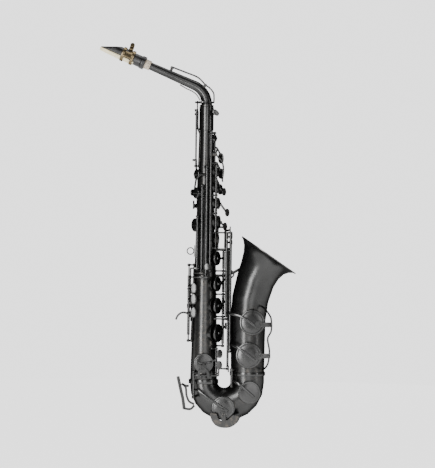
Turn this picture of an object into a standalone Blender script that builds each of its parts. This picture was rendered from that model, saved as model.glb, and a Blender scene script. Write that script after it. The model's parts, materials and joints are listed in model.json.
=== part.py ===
"""An alto saxophone as an assembly of separate solids, in metres, +Z up, with its origin in the strap ring.

The body tube stands upright, the bell is on the +X side, and the player's right hand side faces -Y.
Lengths are written in millimetres in a design frame whose Z axis is the body tube's own axis and whose
floor is the lowest point of the bow. The empty named saxophone carries everything to the origin in the ring.
"""

import math

import bmesh
import bpy
from mathutils import Matrix, Vector

MM = 0.001
UP, LEFT, FRONT = Vector((0, 0, 1)), Vector((0, 1, 0)), Vector((1, 0, 0))
RIGHT = -LEFT

# Driving dimensions of the bore
BODY_FOOT_Z, BODY_TOP_Z = 83.0, 566.0
BODY_FOOT_R, BODY_TOP_R = 25.5, 12.0
WALL = 1.1
BOW_BEND_R = 41.2
BELL_X = 2 * BOW_BEND_R
BELL_FOOT_Z = 100.0
BELL_STRAIGHT_TOP_Z = 200.0
BELL_ARC_R = 220.0
NECK_BASE_Z, NECK_BEND_R, NECK_TURN = 605.4, 38.0, math.radians(66.9)
NECK_STRAIGHT = 104.0
NECK_BEND = NECK_BEND_R * NECK_TURN
NECK_END = NECK_BEND + NECK_STRAIGHT
NECK_TIP = NECK_END + 14.0
# The mouthpiece's shank starts here from the neck's end, and its table lies this far below its axis
SHANK_AT, MOUTHPIECE_LENGTH, TABLE_DROP = -2.0, 89.0, 7.8
MOUTHPIECE_TWIST = math.radians(22)

# The bell's outside and its bore, as (distance along its axis from its foot, radius)
BELL_PROFILE = [
    (0, 31.5), (60, 32.2), (100, 33.0), (140, 34.5), (176, 36.2), (198, 39.0),
    (213, 43.6), (222, 49.6), (227.5, 56.0), (230, 61.3), (231.4, 61.3),
]
BELL_BORE = [
    (-4, 30.4), (60, 31.1), (100, 31.9), (140, 33.4), (176.2, 35.1), (198.5, 37.8),
    (214, 42.4), (223.2, 48.6), (228.9, 55.4), (231.4, 60.6), (236, 68),
]

# Tone holes of the body tube, as name: (angle round the tube, height, radius)
TONE_HOLES = {
    "high_f_sharp": (22, 541, 4.6),
    "palm_f": (270, 540, 4.8),
    "palm_eb": (270, 508, 5.4),
    "palm_d": (270, 476, 6.0),
    "high_e": (151, 473, 7.4),
    "c_key": (0, 478, 6.2),
    "key_b": (0, 448, 7.6),
    "side_c": (151, 438, 8.4),
    "key_a": (0, 419, 8.4),
    "key_g": (0, 384, 10.0),
    "side_bb": (150, 378, 10.4),
    "g_sharp": (-15, 352, 11.0),
    "f_sharp_aux": (35, 316, 11.2),
    "key_f": (35, 268, 12.0),
    "key_e": (35, 227, 13.0),
    "key_d": (35, 176, 15.0),
    "low_eb": (90, 120, 16.4),
}
# Tone holes that face the player's right on bow and bell, as name: (x, z, radius), with their rims level
BOW_HOLES = {"low_c": (38.4, 37.6, 19.5), "low_c_sharp": (86.0, 66.7, 19.0)}
BELL_HOLES = {"low_b": (86.0, 136.0, 22.0), "low_bb": (91.5, 197.4, 21.5)}
SIDE_RIM_Y = -34.6

# Where the left thumb sits, the octave lever's pivot, and the ends of the side keys' tails
THUMB_REST = (-24.0, 0.0, 416.0)
THUMB_REST_R = 8.0
THUMB_ANGLE = 207.0
THUMB_PIVOT_Z = 468.0
TAIL_TIPS = {"high_e": (5.0, -35.4), "side_c": (-3.5, -34.2), "side_bb": (-11.8, -32.0)}
RING_CENTRE = Vector((-27.3, 0.0, 329.0))

# Mechanism sizes
GAP = 0.35
CHIMNEY_WALL, CHIMNEY_RISE = 1.2, 2.6
ROD_R, BORE_R, TUBE_R = 1.35, 1.65, 2.9
POST_R, POST_HEAD_R = 1.9, 3.4
CUP_T = 4.4
CUP_MARGIN = 2.3
OVAL_BULGE = 0.8
FRONT_F_Z, FRONT_F_OUT = 511.0, 5.0

# Hinge lines, as X and Y in the design frame
UPPER_LINE = (19.5, -14.5)
LOWER_LINE = (35.0, 7.0)
HIGH_FS_LINE = (9.3, -27.5)
HIGH_E_LINE = (2.0, -26.5)
SIDE_C_LINE = (-6.5, -25.0)
SIDE_BB_LINE = (-14.8, -22.5)
LEVER_LINE = (-29.5, -9.0)
LOW_B_LINE = (48.0, -22.0)
LOW_BB_LINE = (40.5, -22.0)
CS_LEVER_LINE = (44.5, -13.5)
CS_CUP_LINE = (52.5, -29.0)
EB_LINE = (23.2, -25.0)
LOW_C_LINE = (-18.5, -28.5)
G_SHARP_LINE = (23.0, 21.5)
TABLE_LINE = (38.0, 27.0)
PALM_LINE = (15.5, 17.0)
OCTAVE_LINE = (-19.0, -12.0)

# How far each key that stands open at rest has turned from shut, in degrees about +Z
OPEN_TURN = {
    "c_key": -12.0,
    "key_b": -12.5,
    "key_a": -13.0,
    "key_g": -13.0,
    "f_sharp_aux": 9.0,
    "key_f": 9.0,
    "key_e": 9.0,
    "key_d": 9.0,
    "low_b": -7.5,
    "low_bb": -6.0,
    "low_c": -5.5,
}

BLACK = ("black_lacquer", (0.020, 0.020, 0.022), 0.32, 0.75)
DARK = ("black_nickel", (0.045, 0.047, 0.050), 0.28, 0.90)
CORK = ("cork", (0.50, 0.36, 0.22), 0.90, 0.0)
EBONITE = ("ebonite", (0.015, 0.014, 0.014), 0.22, 0.0)
CANE = ("cane", (0.78, 0.66, 0.38), 0.60, 0.0)
BRASS = ("dark_brass", (0.30, 0.24, 0.16), 0.30, 0.9)


def clear_scene():
    for obj in list(bpy.data.objects):
        bpy.data.objects.remove(obj)


def material(kind):
    name, colour, roughness, metallic = kind
    found = bpy.data.materials.get(name)
    if found:
        return found
    made = bpy.data.materials.new(name)
    made.use_nodes = True
    shader = made.node_tree.nodes["Principled BSDF"]
    shader.inputs["Base Color"].default_value = (*colour, 1)
    shader.inputs["Roughness"].default_value = roughness
    shader.inputs["Metallic"].default_value = metallic
    return made


def body_radius(z):
    """Outer radius of the body tube at height z."""
    share = (BODY_TOP_Z - z) / (BODY_TOP_Z - BODY_FOOT_Z)
    return BODY_TOP_R + share * (BODY_FOOT_R - BODY_TOP_R)


def out(angle):
    """Unit vector away from the body tube. 0 degrees is the bell side and 90 the player's right hand."""
    turn = math.radians(angle)
    return Vector((math.cos(turn), -math.sin(turn), 0))


def around(distance, angle, z):
    return out(angle) * distance + Vector((0, 0, z))


def on(line, z):
    return Vector((line[0], line[1], z))


# ---------------------------------------------------------------- shapes, each one closed mesh


def mesh_of(points, faces):
    shape = bmesh.new()
    corners = [shape.verts.new(p) for p in points]
    for face in faces:
        shape.faces.new([corners[i] for i in face])
    bmesh.ops.recalc_face_normals(shape, faces=shape.faces)
    made = bpy.data.meshes.new("shape")
    shape.to_mesh(made)
    shape.free()
    return made


def basis(axis):
    """Two unit vectors square to axis and to each other."""
    axis = axis.normalized()
    helper = UP if abs(axis.z) < 0.9 else LEFT
    first = helper.cross(axis).normalized()
    return first, axis.cross(first)


def turned(profile, centre, axis, sides=12):
    """A profile of (radius, height) turned about axis. A radius of 0 closes an end, and a profile
    with neither end on the axis is a ring."""
    axis = axis.normalized()
    u, v = basis(axis)
    points, rings = [], []
    for radius, height in profile:
        middle = centre + axis * height
        if radius == 0:
            rings.append([len(points)])
            points.append(middle)
            continue
        rings.append(list(range(len(points), len(points) + sides)))
        for i in range(sides):
            turn = 2 * math.pi * i / sides
            points.append(middle + (u * math.cos(turn) + v * math.sin(turn)) * radius)
    faces = []
    pairs = list(zip(rings, rings[1:]))
    if profile[0][0] and profile[-1][0]:
        pairs.append((rings[-1], rings[0]))
    for low, high in pairs:
        for i in range(sides):
            j = (i + 1) % sides
            corners = [low[i % len(low)], low[j % len(low)], high[j % len(high)], high[i % len(high)]]
            faces.append(list(dict.fromkeys(corners)))
    return mesh_of(points, faces)


def rod(start, end, radius, sides=8, end_radius=None):
    """A round bar or a cone frustum between two points."""
    length = (end - start).length
    tip = radius if end_radius is None else end_radius
    profile = [(0, 0), (radius, 0), (tip, length), (0, length)]
    return turned(profile, start, end - start, sides)


def swept(stations, sides):
    """Round sections (centre, direction, radius), all in the XZ plane, joined and capped."""
    points, rings = [], []
    for centre, direction, radius in stations:
        other = direction.cross(LEFT).normalized()
        rings.append(range(len(points), len(points) + sides))
        for i in range(sides):
            turn = 2 * math.pi * (i + 0.5) / sides
            points.append(centre + (other * math.cos(turn) + LEFT * math.sin(turn)) * radius)
    faces = [list(rings[0]), list(rings[-1])]
    for low, high in zip(rings, rings[1:]):
        for i in range(sides):
            j = (i + 1) % sides
            faces.append([low[i], low[j], high[j], high[i]])
    return mesh_of(points, faces)


def wire(route, radius, sides=6):
    """A round wire through the points of a route."""
    points, rings = [], []
    frame = None
    for i, point in enumerate(route):
        before, after = route[max(i - 1, 0)], route[min(i + 1, len(route) - 1)]
        direction = (after - before).normalized()
        if frame is None:
            frame = basis(direction)[0]
        frame = (frame - direction * frame.dot(direction)).normalized()
        other = direction.cross(frame)
        rings.append(range(len(points), len(points) + sides))
        for k in range(sides):
            turn = 2 * math.pi * k / sides
            points.append(point + (frame * math.cos(turn) + other * math.sin(turn)) * radius)
    faces = [list(rings[0]), list(rings[-1])]
    for low, high in zip(rings, rings[1:]):
        for k in range(sides):
            j = (k + 1) % sides
            faces.append([low[k], low[j], high[j], high[k]])
    return mesh_of(points, faces)


def strap(route, width, thickness, across):
    """A flat bar through the points of a route. across is the direction of its width."""
    points, rings = [], []
    for i, point in enumerate(route):
        before, after = route[max(i - 1, 0)], route[min(i + 1, len(route) - 1)]
        direction = (after - before).normalized()
        wide = (across - direction * across.dot(direction)).normalized()
        high = direction.cross(wide)
        rings.append(range(len(points), len(points) + 4))
        for a, b in ((-1, -1), (1, -1), (1, 1), (-1, 1)):
            points.append(point + wide * (a * width / 2) + high * (b * thickness / 2))
    faces = [list(rings[0]), list(rings[-1])]
    for low, high in zip(rings, rings[1:]):
        for k in range(4):
            j = (k + 1) % 4
            faces.append([low[k], low[j], high[j], high[k]])
    return mesh_of(points, faces)


def oval_plate(centre, normal, long_axis, length, width, thickness, sides=10):
    """A flat plate with round ends, such as a touchpiece."""
    normal = normal.normalized()
    long_axis = (long_axis - normal * long_axis.dot(normal)).normalized()
    short_axis = normal.cross(long_axis)
    points = []
    for level in (-0.5, 0.5):
        for i in range(sides):
            turn = 2 * math.pi * (i + 0.5) / sides
            c, s = math.cos(turn), math.sin(turn)
            c = math.copysign(abs(c) ** OVAL_BULGE, c) * length / 2
            s = math.copysign(abs(s) ** OVAL_BULGE, s) * width / 2
            points.append(centre + long_axis * c + short_axis * s + normal * (level * thickness))
    faces = [list(range(sides)), list(range(sides, 2 * sides))]
    faces += [[i, (i + 1) % sides, sides + (i + 1) % sides, sides + i] for i in range(sides)]
    return mesh_of(points, faces)


# ---------------------------------------------------------------- building nodes


def helper_collection(meshes):
    group = bpy.data.collections.new("group")
    for mesh in meshes:
        group.objects.link(bpy.data.objects.new("piece", mesh))
    return group


def combined(shapes, cuts):
    """One mesh: the union of the shapes less the cuts."""
    base = bpy.data.objects.new("base", shapes[0])
    bpy.context.scene.collection.objects.link(base)
    groups = []
    for operation, meshes in (("UNION", shapes[1:]), ("DIFFERENCE", cuts)):
        if not meshes:
            continue
        group = helper_collection(meshes)
        groups.append(group)
        step = base.modifiers.new(operation, "BOOLEAN")
        step.operation = operation
        step.operand_type = "COLLECTION"
        step.collection = group
        step.solver = "EXACT"
    bpy.context.view_layer.update()
    graph = bpy.context.evaluated_depsgraph_get()
    mesh = bpy.data.meshes.new_from_object(base.evaluated_get(graph))
    bpy.data.objects.remove(base)
    for group in groups:
        for piece in list(group.objects):
            bpy.data.objects.remove(piece)
        bpy.data.collections.remove(group)
    return mesh


def tidy(mesh):
    """Closes the hairline cracks that a Boolean can leave."""
    shape = bmesh.new()
    shape.from_mesh(mesh)
    bmesh.ops.remove_doubles(shape, verts=shape.verts, dist=0.003)
    bmesh.ops.dissolve_degenerate(shape, dist=0.003, edges=shape.edges)
    shape.to_mesh(mesh)
    shape.free()


def node(name, shapes, kind, cuts=(), pivot=(0, 0, 0)):
    """A named solid whose origin is at pivot, in the design frame. A key that stands open at rest
    is drawn shut, and turned about its hinge line afterwards."""
    pivot = Vector(pivot)
    mesh = combined(list(shapes), list(cuts))
    mesh.name = name
    tidy(mesh)
    turn = Matrix.Rotation(math.radians(OPEN_TURN.get(name, 0.0)), 4, "Z")
    mesh.transform(Matrix.Scale(MM, 4) @ turn @ Matrix.Translation(-pivot))
    mesh.materials.clear()
    mesh.materials.append(material(kind))
    obj = bpy.data.objects.new(name, mesh)
    bpy.context.scene.collection.objects.link(obj)
    obj.parent = bpy.data.objects["saxophone"]
    obj.location = pivot * MM
    mesh.shade_smooth()
    mesh.set_sharp_from_angle(angle=math.radians(35))
    return obj


# ---------------------------------------------------------------- parts of the mechanism


def hole_seat(angle, z, radius, rise=CHIMNEY_RISE):
    """(chimney, hole cutter, rim centre, direction) of a tone hole on the body tube."""
    direction = out(angle)
    wall = body_radius(z)
    outer = radius + CHIMNEY_WALL
    root = math.sqrt(max(wall**2 - outer**2, 1)) - 3
    base = Vector((0, 0, z))
    chimney = rod(base + direction * root, base + direction * (wall + rise), outer, 12)
    cutter = rod(base + direction * 2, base + direction * (wall + rise + 6), radius, 12)
    return chimney, cutter, base + direction * (wall + rise), direction


def cup(rim, direction, radius, lift=GAP, sides=12):
    """A pad cup standing lift above its tone hole's rim. Returns the cup and the middle of its back."""
    profile = [
        (0, lift),
        (radius, lift),
        (radius, lift + 2.8),
        (radius * 0.7, lift + CUP_T - 0.5),
        (0, lift + CUP_T),
    ]
    return turned(profile, rim, direction, sides), rim + direction * (lift + CUP_T)


def hinge_tube(line, low, high, radius=TUBE_R):
    return rod(on(line, low), on(line, high), radius, 8)


def bore(line, low, high):
    return rod(on(line, low - 3), on(line, high + 3), BORE_R, 8)


def arm(route, width=3.4, thickness=2.2, across=UP):
    return strap(route, width, thickness, across)


def angle_of(line):
    return math.degrees(math.atan2(-line[1], line[0]))


def post(angle, line, z, length=5.0, lift=GAP + 1.8):
    """A post on the body tube at angle and z, with a barrel head round the hinge line."""
    foot = around(body_radius(z) + lift, angle, z)
    barrel = rod(on(line, z - length / 2), on(line, z + length / 2), POST_HEAD_R, 8)
    return [barrel, rod(foot, on(line, z), POST_R + 0.5, 6, POST_R)]


def soldered_post(angle, line, z):
    """A post whose foot runs into the wall of the body tube."""
    return post(angle, line, z, 5.0, -0.6)


def rib(angle, low, high, width=7.0):
    """A strip on the body tube that carries a row of posts."""
    ends = [around(body_radius(z) + GAP + 1.2, angle, z) for z in (low, high)]
    return strap(ends, width, 1.6, out(angle).cross(UP))


def touch_pearl(centre, direction, radius):
    """A round holder for a finger pearl."""
    profile = [(0, -1.6), (radius * 0.7, -1.6), (radius, -0.4), (radius, 1.6), (0, 1.6)]
    return turned(profile, centre, direction, 10)


# ---------------------------------------------------------------- the bore


def bell_station(s):
    """Centre and direction of the bell's axis, s along it from its foot."""
    straight = BELL_STRAIGHT_TOP_Z - BELL_FOOT_Z
    if s <= straight:
        return Vector((BELL_X, 0, BELL_FOOT_Z + s)), UP
    turn = (s - straight) / BELL_ARC_R
    centre = Vector(
        (BELL_X + BELL_ARC_R * (1 - math.cos(turn)), 0, BELL_STRAIGHT_TOP_Z + BELL_ARC_R * math.sin(turn))
    )
    return centre, Vector((math.sin(turn), 0, math.cos(turn)))


def bow_station(turn):
    """Centre, direction and outer radius of the bow, turn from 0 at the body to pi at the bell."""
    centre = Vector((BOW_BEND_R * (1 - math.cos(turn)), 0, BODY_FOOT_Z - BOW_BEND_R * math.sin(turn)))
    direction = Vector((math.sin(turn), 0, -math.cos(turn)))
    share = turn / math.pi
    radius = BODY_FOOT_R + 6.0 * math.sin(share * math.pi / 2) + 1.5 * math.sin(share * math.pi)
    return centre, direction, radius


def neck_station(s):
    """Centre and direction of the neck's axis, s along it from the foot of its bend."""
    bend = NECK_BEND_R * NECK_TURN
    turn = min(max(s, 0), bend) / NECK_BEND_R
    centre = Vector((-NECK_BEND_R * (1 - math.cos(turn)), 0, NECK_BASE_Z + NECK_BEND_R * math.sin(turn)))
    direction = Vector((-math.sin(turn), 0, math.cos(turn)))
    return centre + direction * (min(s, 0) + max(s - bend, 0)), direction


def neck_radius(s):
    share = max(0.0, min(1.0, s / NECK_END))
    return 10.4 - 3.7 * share**0.8


def make_body_tube():
    foot, top = Vector((0, 0, BODY_FOOT_Z)), Vector((0, 0, BODY_TOP_Z))
    slope = (BODY_FOOT_R - BODY_TOP_R) / (BODY_TOP_Z - BODY_FOOT_Z)
    shapes = [rod(foot, top, BODY_FOOT_R, 24, BODY_TOP_R)]
    margin = 5.0
    cuts = [
        rod(
            foot - Vector((0, 0, margin)),
            top + Vector((0, 0, margin)),
            BODY_FOOT_R - WALL + slope * margin,
            24,
            BODY_TOP_R - WALL - slope * margin,
        )
    ]
    for angle, z, radius in TONE_HOLES.values():
        chimney, cutter, _, _ = hole_seat(angle, z, radius)
        shapes.append(chimney)
        cuts.append(cutter)
    soldered = (
        (angle_of(EB_LINE), EB_LINE, 147.0),
        (angle_of(EB_LINE), EB_LINE, 101.0),
        (angle_of(LOW_C_LINE), LOW_C_LINE, 104.0),
        (angle_of(LOW_B_LINE), LOW_B_LINE, 364.0),
        (angle_of(LOW_BB_LINE), LOW_BB_LINE, 202.5),
        (angle_of(CS_LEVER_LINE), CS_LEVER_LINE, 333.5),
        (angle_of(CS_LEVER_LINE), CS_LEVER_LINE, 109.0),
        (angle_of(HIGH_FS_LINE), HIGH_FS_LINE, 552.0),
        (angle_of(HIGH_FS_LINE), HIGH_FS_LINE, 293.0),
        (angle_of(SIDE_BB_LINE), SIDE_BB_LINE, 394.0),
        (angle_of(SIDE_BB_LINE), SIDE_BB_LINE, 295.0),
    )
    for angle, line, z in soldered:
        shapes += soldered_post(angle, line, z)
    shapes.append(rod(on(LOW_BB_LINE, 352.0), on(LOW_BB_LINE, 365.5), POST_HEAD_R, 8))
    # The saddle that the front F lever rocks in
    wall = body_radius(FRONT_F_Z)
    for y in (-4.8, 4.8):
        cheek = [Vector((wall - 2.6, y, FRONT_F_Z)), Vector((wall + 7.0, y, FRONT_F_Z))]
        shapes.append(strap(cheek, 6.0, 1.8, UP))
    pin = Vector((wall + FRONT_F_OUT, 0, FRONT_F_Z))
    shapes.append(rod(pin - Vector((0, 5.2, 0)), pin + Vector((0, 5.2, 0)), 1.0, 8))
    node("body_tube", shapes, BLACK, cuts)


def side_hole(x, z, radius, inner_y=-14.0):
    """(chimney, cutter) of a tone hole that faces -Y on the bow or the bell."""
    start = Vector((x, inner_y, z))
    rim = Vector((x, SIDE_RIM_Y, z))
    return rod(start, rim, radius + CHIMNEY_WALL, 18), rod(Vector((x, -2, z)), rim + RIGHT * 8, radius, 18)


def bow_post(line, z):
    """A post on the outside of the bow, its foot on the bow's surface nearest to the head."""
    head = on(line, z)
    bend = Vector((BOW_BEND_R, 0, BODY_FOOT_Z))
    turn = math.atan2(bend.z - z, abs(bend.x - line[0]))
    if line[0] > bend.x:
        turn = math.pi - turn
    centre, _, radius = bow_station(turn)
    foot = centre + (head - centre).normalized() * (radius - 0.8)
    barrel = rod(on(line, z - 2.5), on(line, z + 2.5), POST_HEAD_R, 8)
    return [barrel, rod(foot, head, POST_R + 0.5, 6, POST_R)]


def bell_post(line, z):
    centre = Vector((BELL_X, 0, z))
    head = on(line, z)
    foot = centre + (head - centre).normalized() * 31.0
    barrel = rod(on(line, z - 2.5), on(line, z + 2.5), POST_HEAD_R, 8)
    return [barrel, rod(foot, head, POST_R + 0.5, 6, POST_R)]


def make_bow():
    count = 10
    outer, inner = [], []
    for i in range(count + 1):
        centre, direction, radius = bow_station(math.pi * i / count)
        outer.append((centre, direction, radius))
        inner.append((centre, direction, radius - WALL))
    top, up, radius = outer[-1]
    outer.append((top + Vector((0, 0, BELL_FOOT_Z - BODY_FOOT_Z - GAP)), up, 31.5))
    inner.append((top + Vector((0, 0, BELL_FOOT_Z - BODY_FOOT_Z + 5)), up, 31.5 - WALL))
    foot, down, radius = outer[0]
    outer[0] = (foot - Vector((0, 0, GAP)), down, radius)
    inner.insert(0, (foot + Vector((0, 0, 4)), down, radius - WALL))
    shapes, cuts = [swept(outer, 22)], [swept(inner, 22)]
    for x, z, hole_radius in BOW_HOLES.values():
        chimney, cutter = side_hole(x, z, hole_radius)
        shapes.append(chimney)
        cuts.append(cutter)
    shapes += bow_post(LOW_C_LINE, 56.0)
    shapes += bow_post(CS_CUP_LINE, 78.0)
    node("bow", shapes, BLACK, cuts)


def make_bell():
    outer = [(*bell_station(s), r) for s, r in BELL_PROFILE]
    inner = [(*bell_station(s), r) for s, r in BELL_BORE]
    shapes, cuts = [swept(outer, 26)], [swept(inner, 26)]
    for x, z, hole_radius in BELL_HOLES.values():
        chimney, cutter = side_hole(x, z, hole_radius, -16.0)
        shapes.append(chimney)
        cuts.append(cutter)
    shapes += bell_post(LOW_B_LINE, 142.0) + bell_post(CS_CUP_LINE, 108.5)
    node("bell", shapes, BLACK, cuts)


def make_rings():
    """The ferrules over the two joints of the bow."""
    body = [(BODY_FOOT_R + 1.3, -4), (BODY_FOOT_R + 2.6, -4), (BODY_FOOT_R + 2.6, 4), (BODY_FOOT_R + 1.3, 4)]
    node("bow_ring_body", [turned(body, Vector((0, 0, BODY_FOOT_Z + 1.5)), UP, 24)], DARK)
    bell = [(32.2, -3.5), (33.4, -3.5), (33.4, 3.5), (32.2, 3.5)]
    node("bow_ring_bell", [turned(bell, Vector((BELL_X, 0, BELL_FOOT_Z)), UP, 28)], DARK)


def make_neck():
    top = Vector((0, 0, BODY_TOP_Z))
    # The receiver is a socket soldered over the body tube's top end, slotted at the front for its clamp
    profile = [(12.45, -10), (13.6, -10), (13.6, 34), (12.0, 34), (12.0, 2), (12.45, 0)]
    lugs = [strap([Vector((10.8, y, 590)), Vector((18.5, y, 590))], 9.0, 4.0, UP) for y in (-3.6, 3.6)]
    slot = strap([Vector((5, 0, 601)), Vector((5, 0, 574))], 16.0, 1.6, FRONT)
    socket_wall = turned([(0, 0), (12.0, 0), (12.0, 40), (0, 40)], top + UP * 2, UP, 24)
    screw_hole = rod(Vector((15.6, -9, 590)), Vector((15.6, 9, 590)), 1.9, 8)
    node("neck_receiver", [turned(profile, top, UP, 24)] + lugs, DARK, [slot, socket_wall, screw_hole])
    # The clamp screw crosses the lugs and has a broad thumb head on the player's right
    shank = rod(Vector((15.6, -12, 590)), Vector((15.6, 8, 590)), 1.5, 8)
    head = oval_plate(Vector((17.4, -14.4, 589)), LEFT, Vector((1, 0, -0.9)), 14, 9, 3.2)
    collar = rod(Vector((15.6, -13.0, 590)), Vector((15.6, -6.3, 590)), 3.2, 8)
    node("neck_screw", [shank, head, collar], DARK, pivot=(15.6, -10, 590))

    stops = [0, 8, 16, 24, 32, 40, NECK_BEND, NECK_BEND + 50, NECK_TIP]
    outer = [(*neck_station(s), neck_radius(s)) for s in stops]
    inner = [(*neck_station(s), neck_radius(s) - WALL) for s in stops]
    outer.insert(0, (Vector((0, 0, 572)), UP, 11.6))
    outer.insert(1, (Vector((0, 0, 600.6)), UP, 11.6))
    outer.insert(2, (Vector((0, 0, 600.8)), UP, 13.2))
    outer.insert(3, (Vector((0, 0, 603.6)), UP, 13.2))
    outer.insert(4, (Vector((0, 0, 603.8)), UP, 10.6))
    inner[0] = (Vector((0, 0, 569)), UP, 10.3)
    inner.insert(1, (Vector((0, 0, 604)), UP, 9.3))
    last, heading, radius = inner[-1]
    inner[-1] = (last + heading * 4, heading, radius)
    saddle_point, along = neck_station(30)
    lift = Vector((math.cos(30 / NECK_BEND_R), 0, math.sin(30 / NECK_BEND_R)))
    saddle = []
    for side in (-5.2, 5.2):
        base = saddle_point + lift * 4.0 + Vector((0, side, 0))
        saddle.append(strap([base, saddle_point + lift * 14.2 + Vector((0, side, 0))], 5.0, 2.0, along))
    pip_point, pip_along = neck_station(NECK_BEND + 52)
    pip_up = Vector((pip_along.z, 0, -pip_along.x))
    pip = rod(pip_point + pip_up * 5, pip_point + pip_up * 11.6, 2.6, 10)
    vent = rod(pip_point, pip_point + pip_up * 16, 0.9, 6)
    node(
        "neck_tube",
        [swept(outer, 16), pip] + saddle,
        BLACK,
        [swept(inner, 16), vent],
        pivot=(0, 0, NECK_BASE_Z),
    )

    # A strip brace below the bend, on the concave side
    route = []
    for s in (10, 20, 30, NECK_BEND, NECK_BEND + 12, NECK_BEND + 26):
        centre, direction = neck_station(s)
        inward = Vector((-direction.z, 0, direction.x))
        depth = 2.9 if 10 < s < NECK_BEND + 26 else 1.6
        route.append(centre + inward * (neck_radius(s) + depth))
    node("neck_brace", [strap(route, 4.6, 2.0, LEFT)], BLACK, pivot=(0, 0, NECK_BASE_Z))


def mouthpiece_frame():
    """The end of the neck: a point on its axis, the direction out of it, and the directions up and across
    there for a mouthpiece that is turned a little, so that its reed faces down and to the player's right."""
    centre, along = neck_station(NECK_END)
    twist = Matrix.Rotation(MOUTHPIECE_TWIST, 3, along)
    return centre, along, twist @ Vector((along.z, 0, -along.x)), twist @ LEFT


def make_mouthpiece():
    end, along, up, across = mouthpiece_frame()
    cork_from, cork_to = -13.0, 13.4
    cork_r = neck_radius(NECK_END) + GAP
    shank = end + along * SHANK_AT
    cork = turned(
        [
            (cork_r + 0.35, cork_from),
            (9.1, cork_from),
            (9.1, cork_to - 1),
            (8.6, cork_to),
            (cork_r + 0.1, cork_to),
        ],
        end,
        along,
        16,
    )
    node("neck_cork", [cork], CORK, pivot=(0, 0, NECK_BASE_Z))
    # Shank, barrel and beak. The table for the reed is a flat along the lower side
    body = turned(
        [
            (0, 0), (12.4, 0), (12.4, 7), (11.2, 9), (10.9, 30), (11.6, 46),
            (11.6, MOUTHPIECE_LENGTH), (0, MOUTHPIECE_LENGTH),
        ],
        shank,
        along,
        20,
    )
    tip = shank + along * MOUTHPIECE_LENGTH - up * TABLE_DROP
    block = 40.0
    table = strap(
        [shank + along * 20.2 - up * (TABLE_DROP + 20), shank + along * 140 - up * (TABLE_DROP + 20)],
        60,
        40,
        across,
    )
    beak_start = shank + along * 47 + up * 11.8
    beak_run = (tip + up * 1.0 - beak_start).normalized()
    beak_up = Vector((beak_run.z, 0, -beak_run.x))
    if beak_up.dot(up) < 0:
        beak_up = -beak_up
    beak = strap(
        [beak_start - beak_run * 4 + beak_up * block / 2, beak_start + beak_run * 80 + beak_up * block / 2],
        60,
        block,
        across,
    )
    socket = rod(shank - along * 2, shank + along * 18.6, 9.35, 16)
    chamber = rod(shank + along * 15, shank + along * 56, 6.2, 12, 5.2)
    window = strap([shank + along * 52 - up * 5.0, shank + along * 84 - up * 8.2], 10.5, 7.0, across)
    sides = []
    for side in (-1, 1):
        cheek = shank + along * 100 + across * (side * 27.4)
        sides.append(strap([shank + along * 46 + across * (side * 31.9), cheek], 80, 40, up))
    node("mouthpiece", [body], EBONITE, [table, beak, socket, chamber, window] + sides, pivot=end)

    reed_points = [(20.8, 2.8), (54, 2.6), (88.6, 0.6)]
    lower = [shank + along * a - up * (TABLE_DROP + GAP + t) for a, t in reed_points]
    upper = [shank + along * a - up * (TABLE_DROP + GAP) for a, _ in reed_points]
    points = []
    for low, high, half in zip(lower, upper, (5.6, 6.0, 6.6)):
        points += [low - across * half, low + across * half, high + across * half, high - across * half]
    faces = [[0, 1, 2, 3], [8, 9, 10, 11]]
    for k in (0, 4):
        faces += [[k + i, k + (i + 1) % 4, k + 4 + (i + 1) % 4, k + 4 + i] for i in range(4)]
    node("reed", [mesh_of(points, faces)], CANE, pivot=end)

    # Ligature: a band round barrel and reed, with two ears on top for its screw
    low_z, high_z = 23.0, 47.0
    band_outer, band_inner = 13.9, 12.75
    ring = turned(
        [(band_inner, low_z), (band_outer, low_z), (band_outer, high_z), (band_inner, high_z)],
        shank,
        along,
        24,
    )
    ears = []
    for y in (-3.4, 3.4):
        foot = shank + along * 35 + up * 12.8 + across * y
        ears.append(strap([foot, foot + up * 9.0], 8.0, 2.0, along))
    gap_cut = strap([shank + along * 15 + up * 14, shank + along * 55 + up * 14], 4.6, 6.0, across)
    hole = rod(shank + along * 35 + up * 19 - across * 9, shank + along * 35 + up * 19 + across * 9, 1.6, 8)
    node("ligature", [ring] + ears, BRASS, [gap_cut, hole], pivot=end)
    centre = shank + along * 35 + up * 19
    screw = rod(centre - across * 9.5, centre + across * 7.0, 1.25, 8)
    knob = turned([(0, 0), (4.2, 0), (4.2, 4.5), (0, 4.5)], centre - across * 13.6, across, 12)
    node("ligature_screw", [screw, knob], BRASS, pivot=centre)


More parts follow.
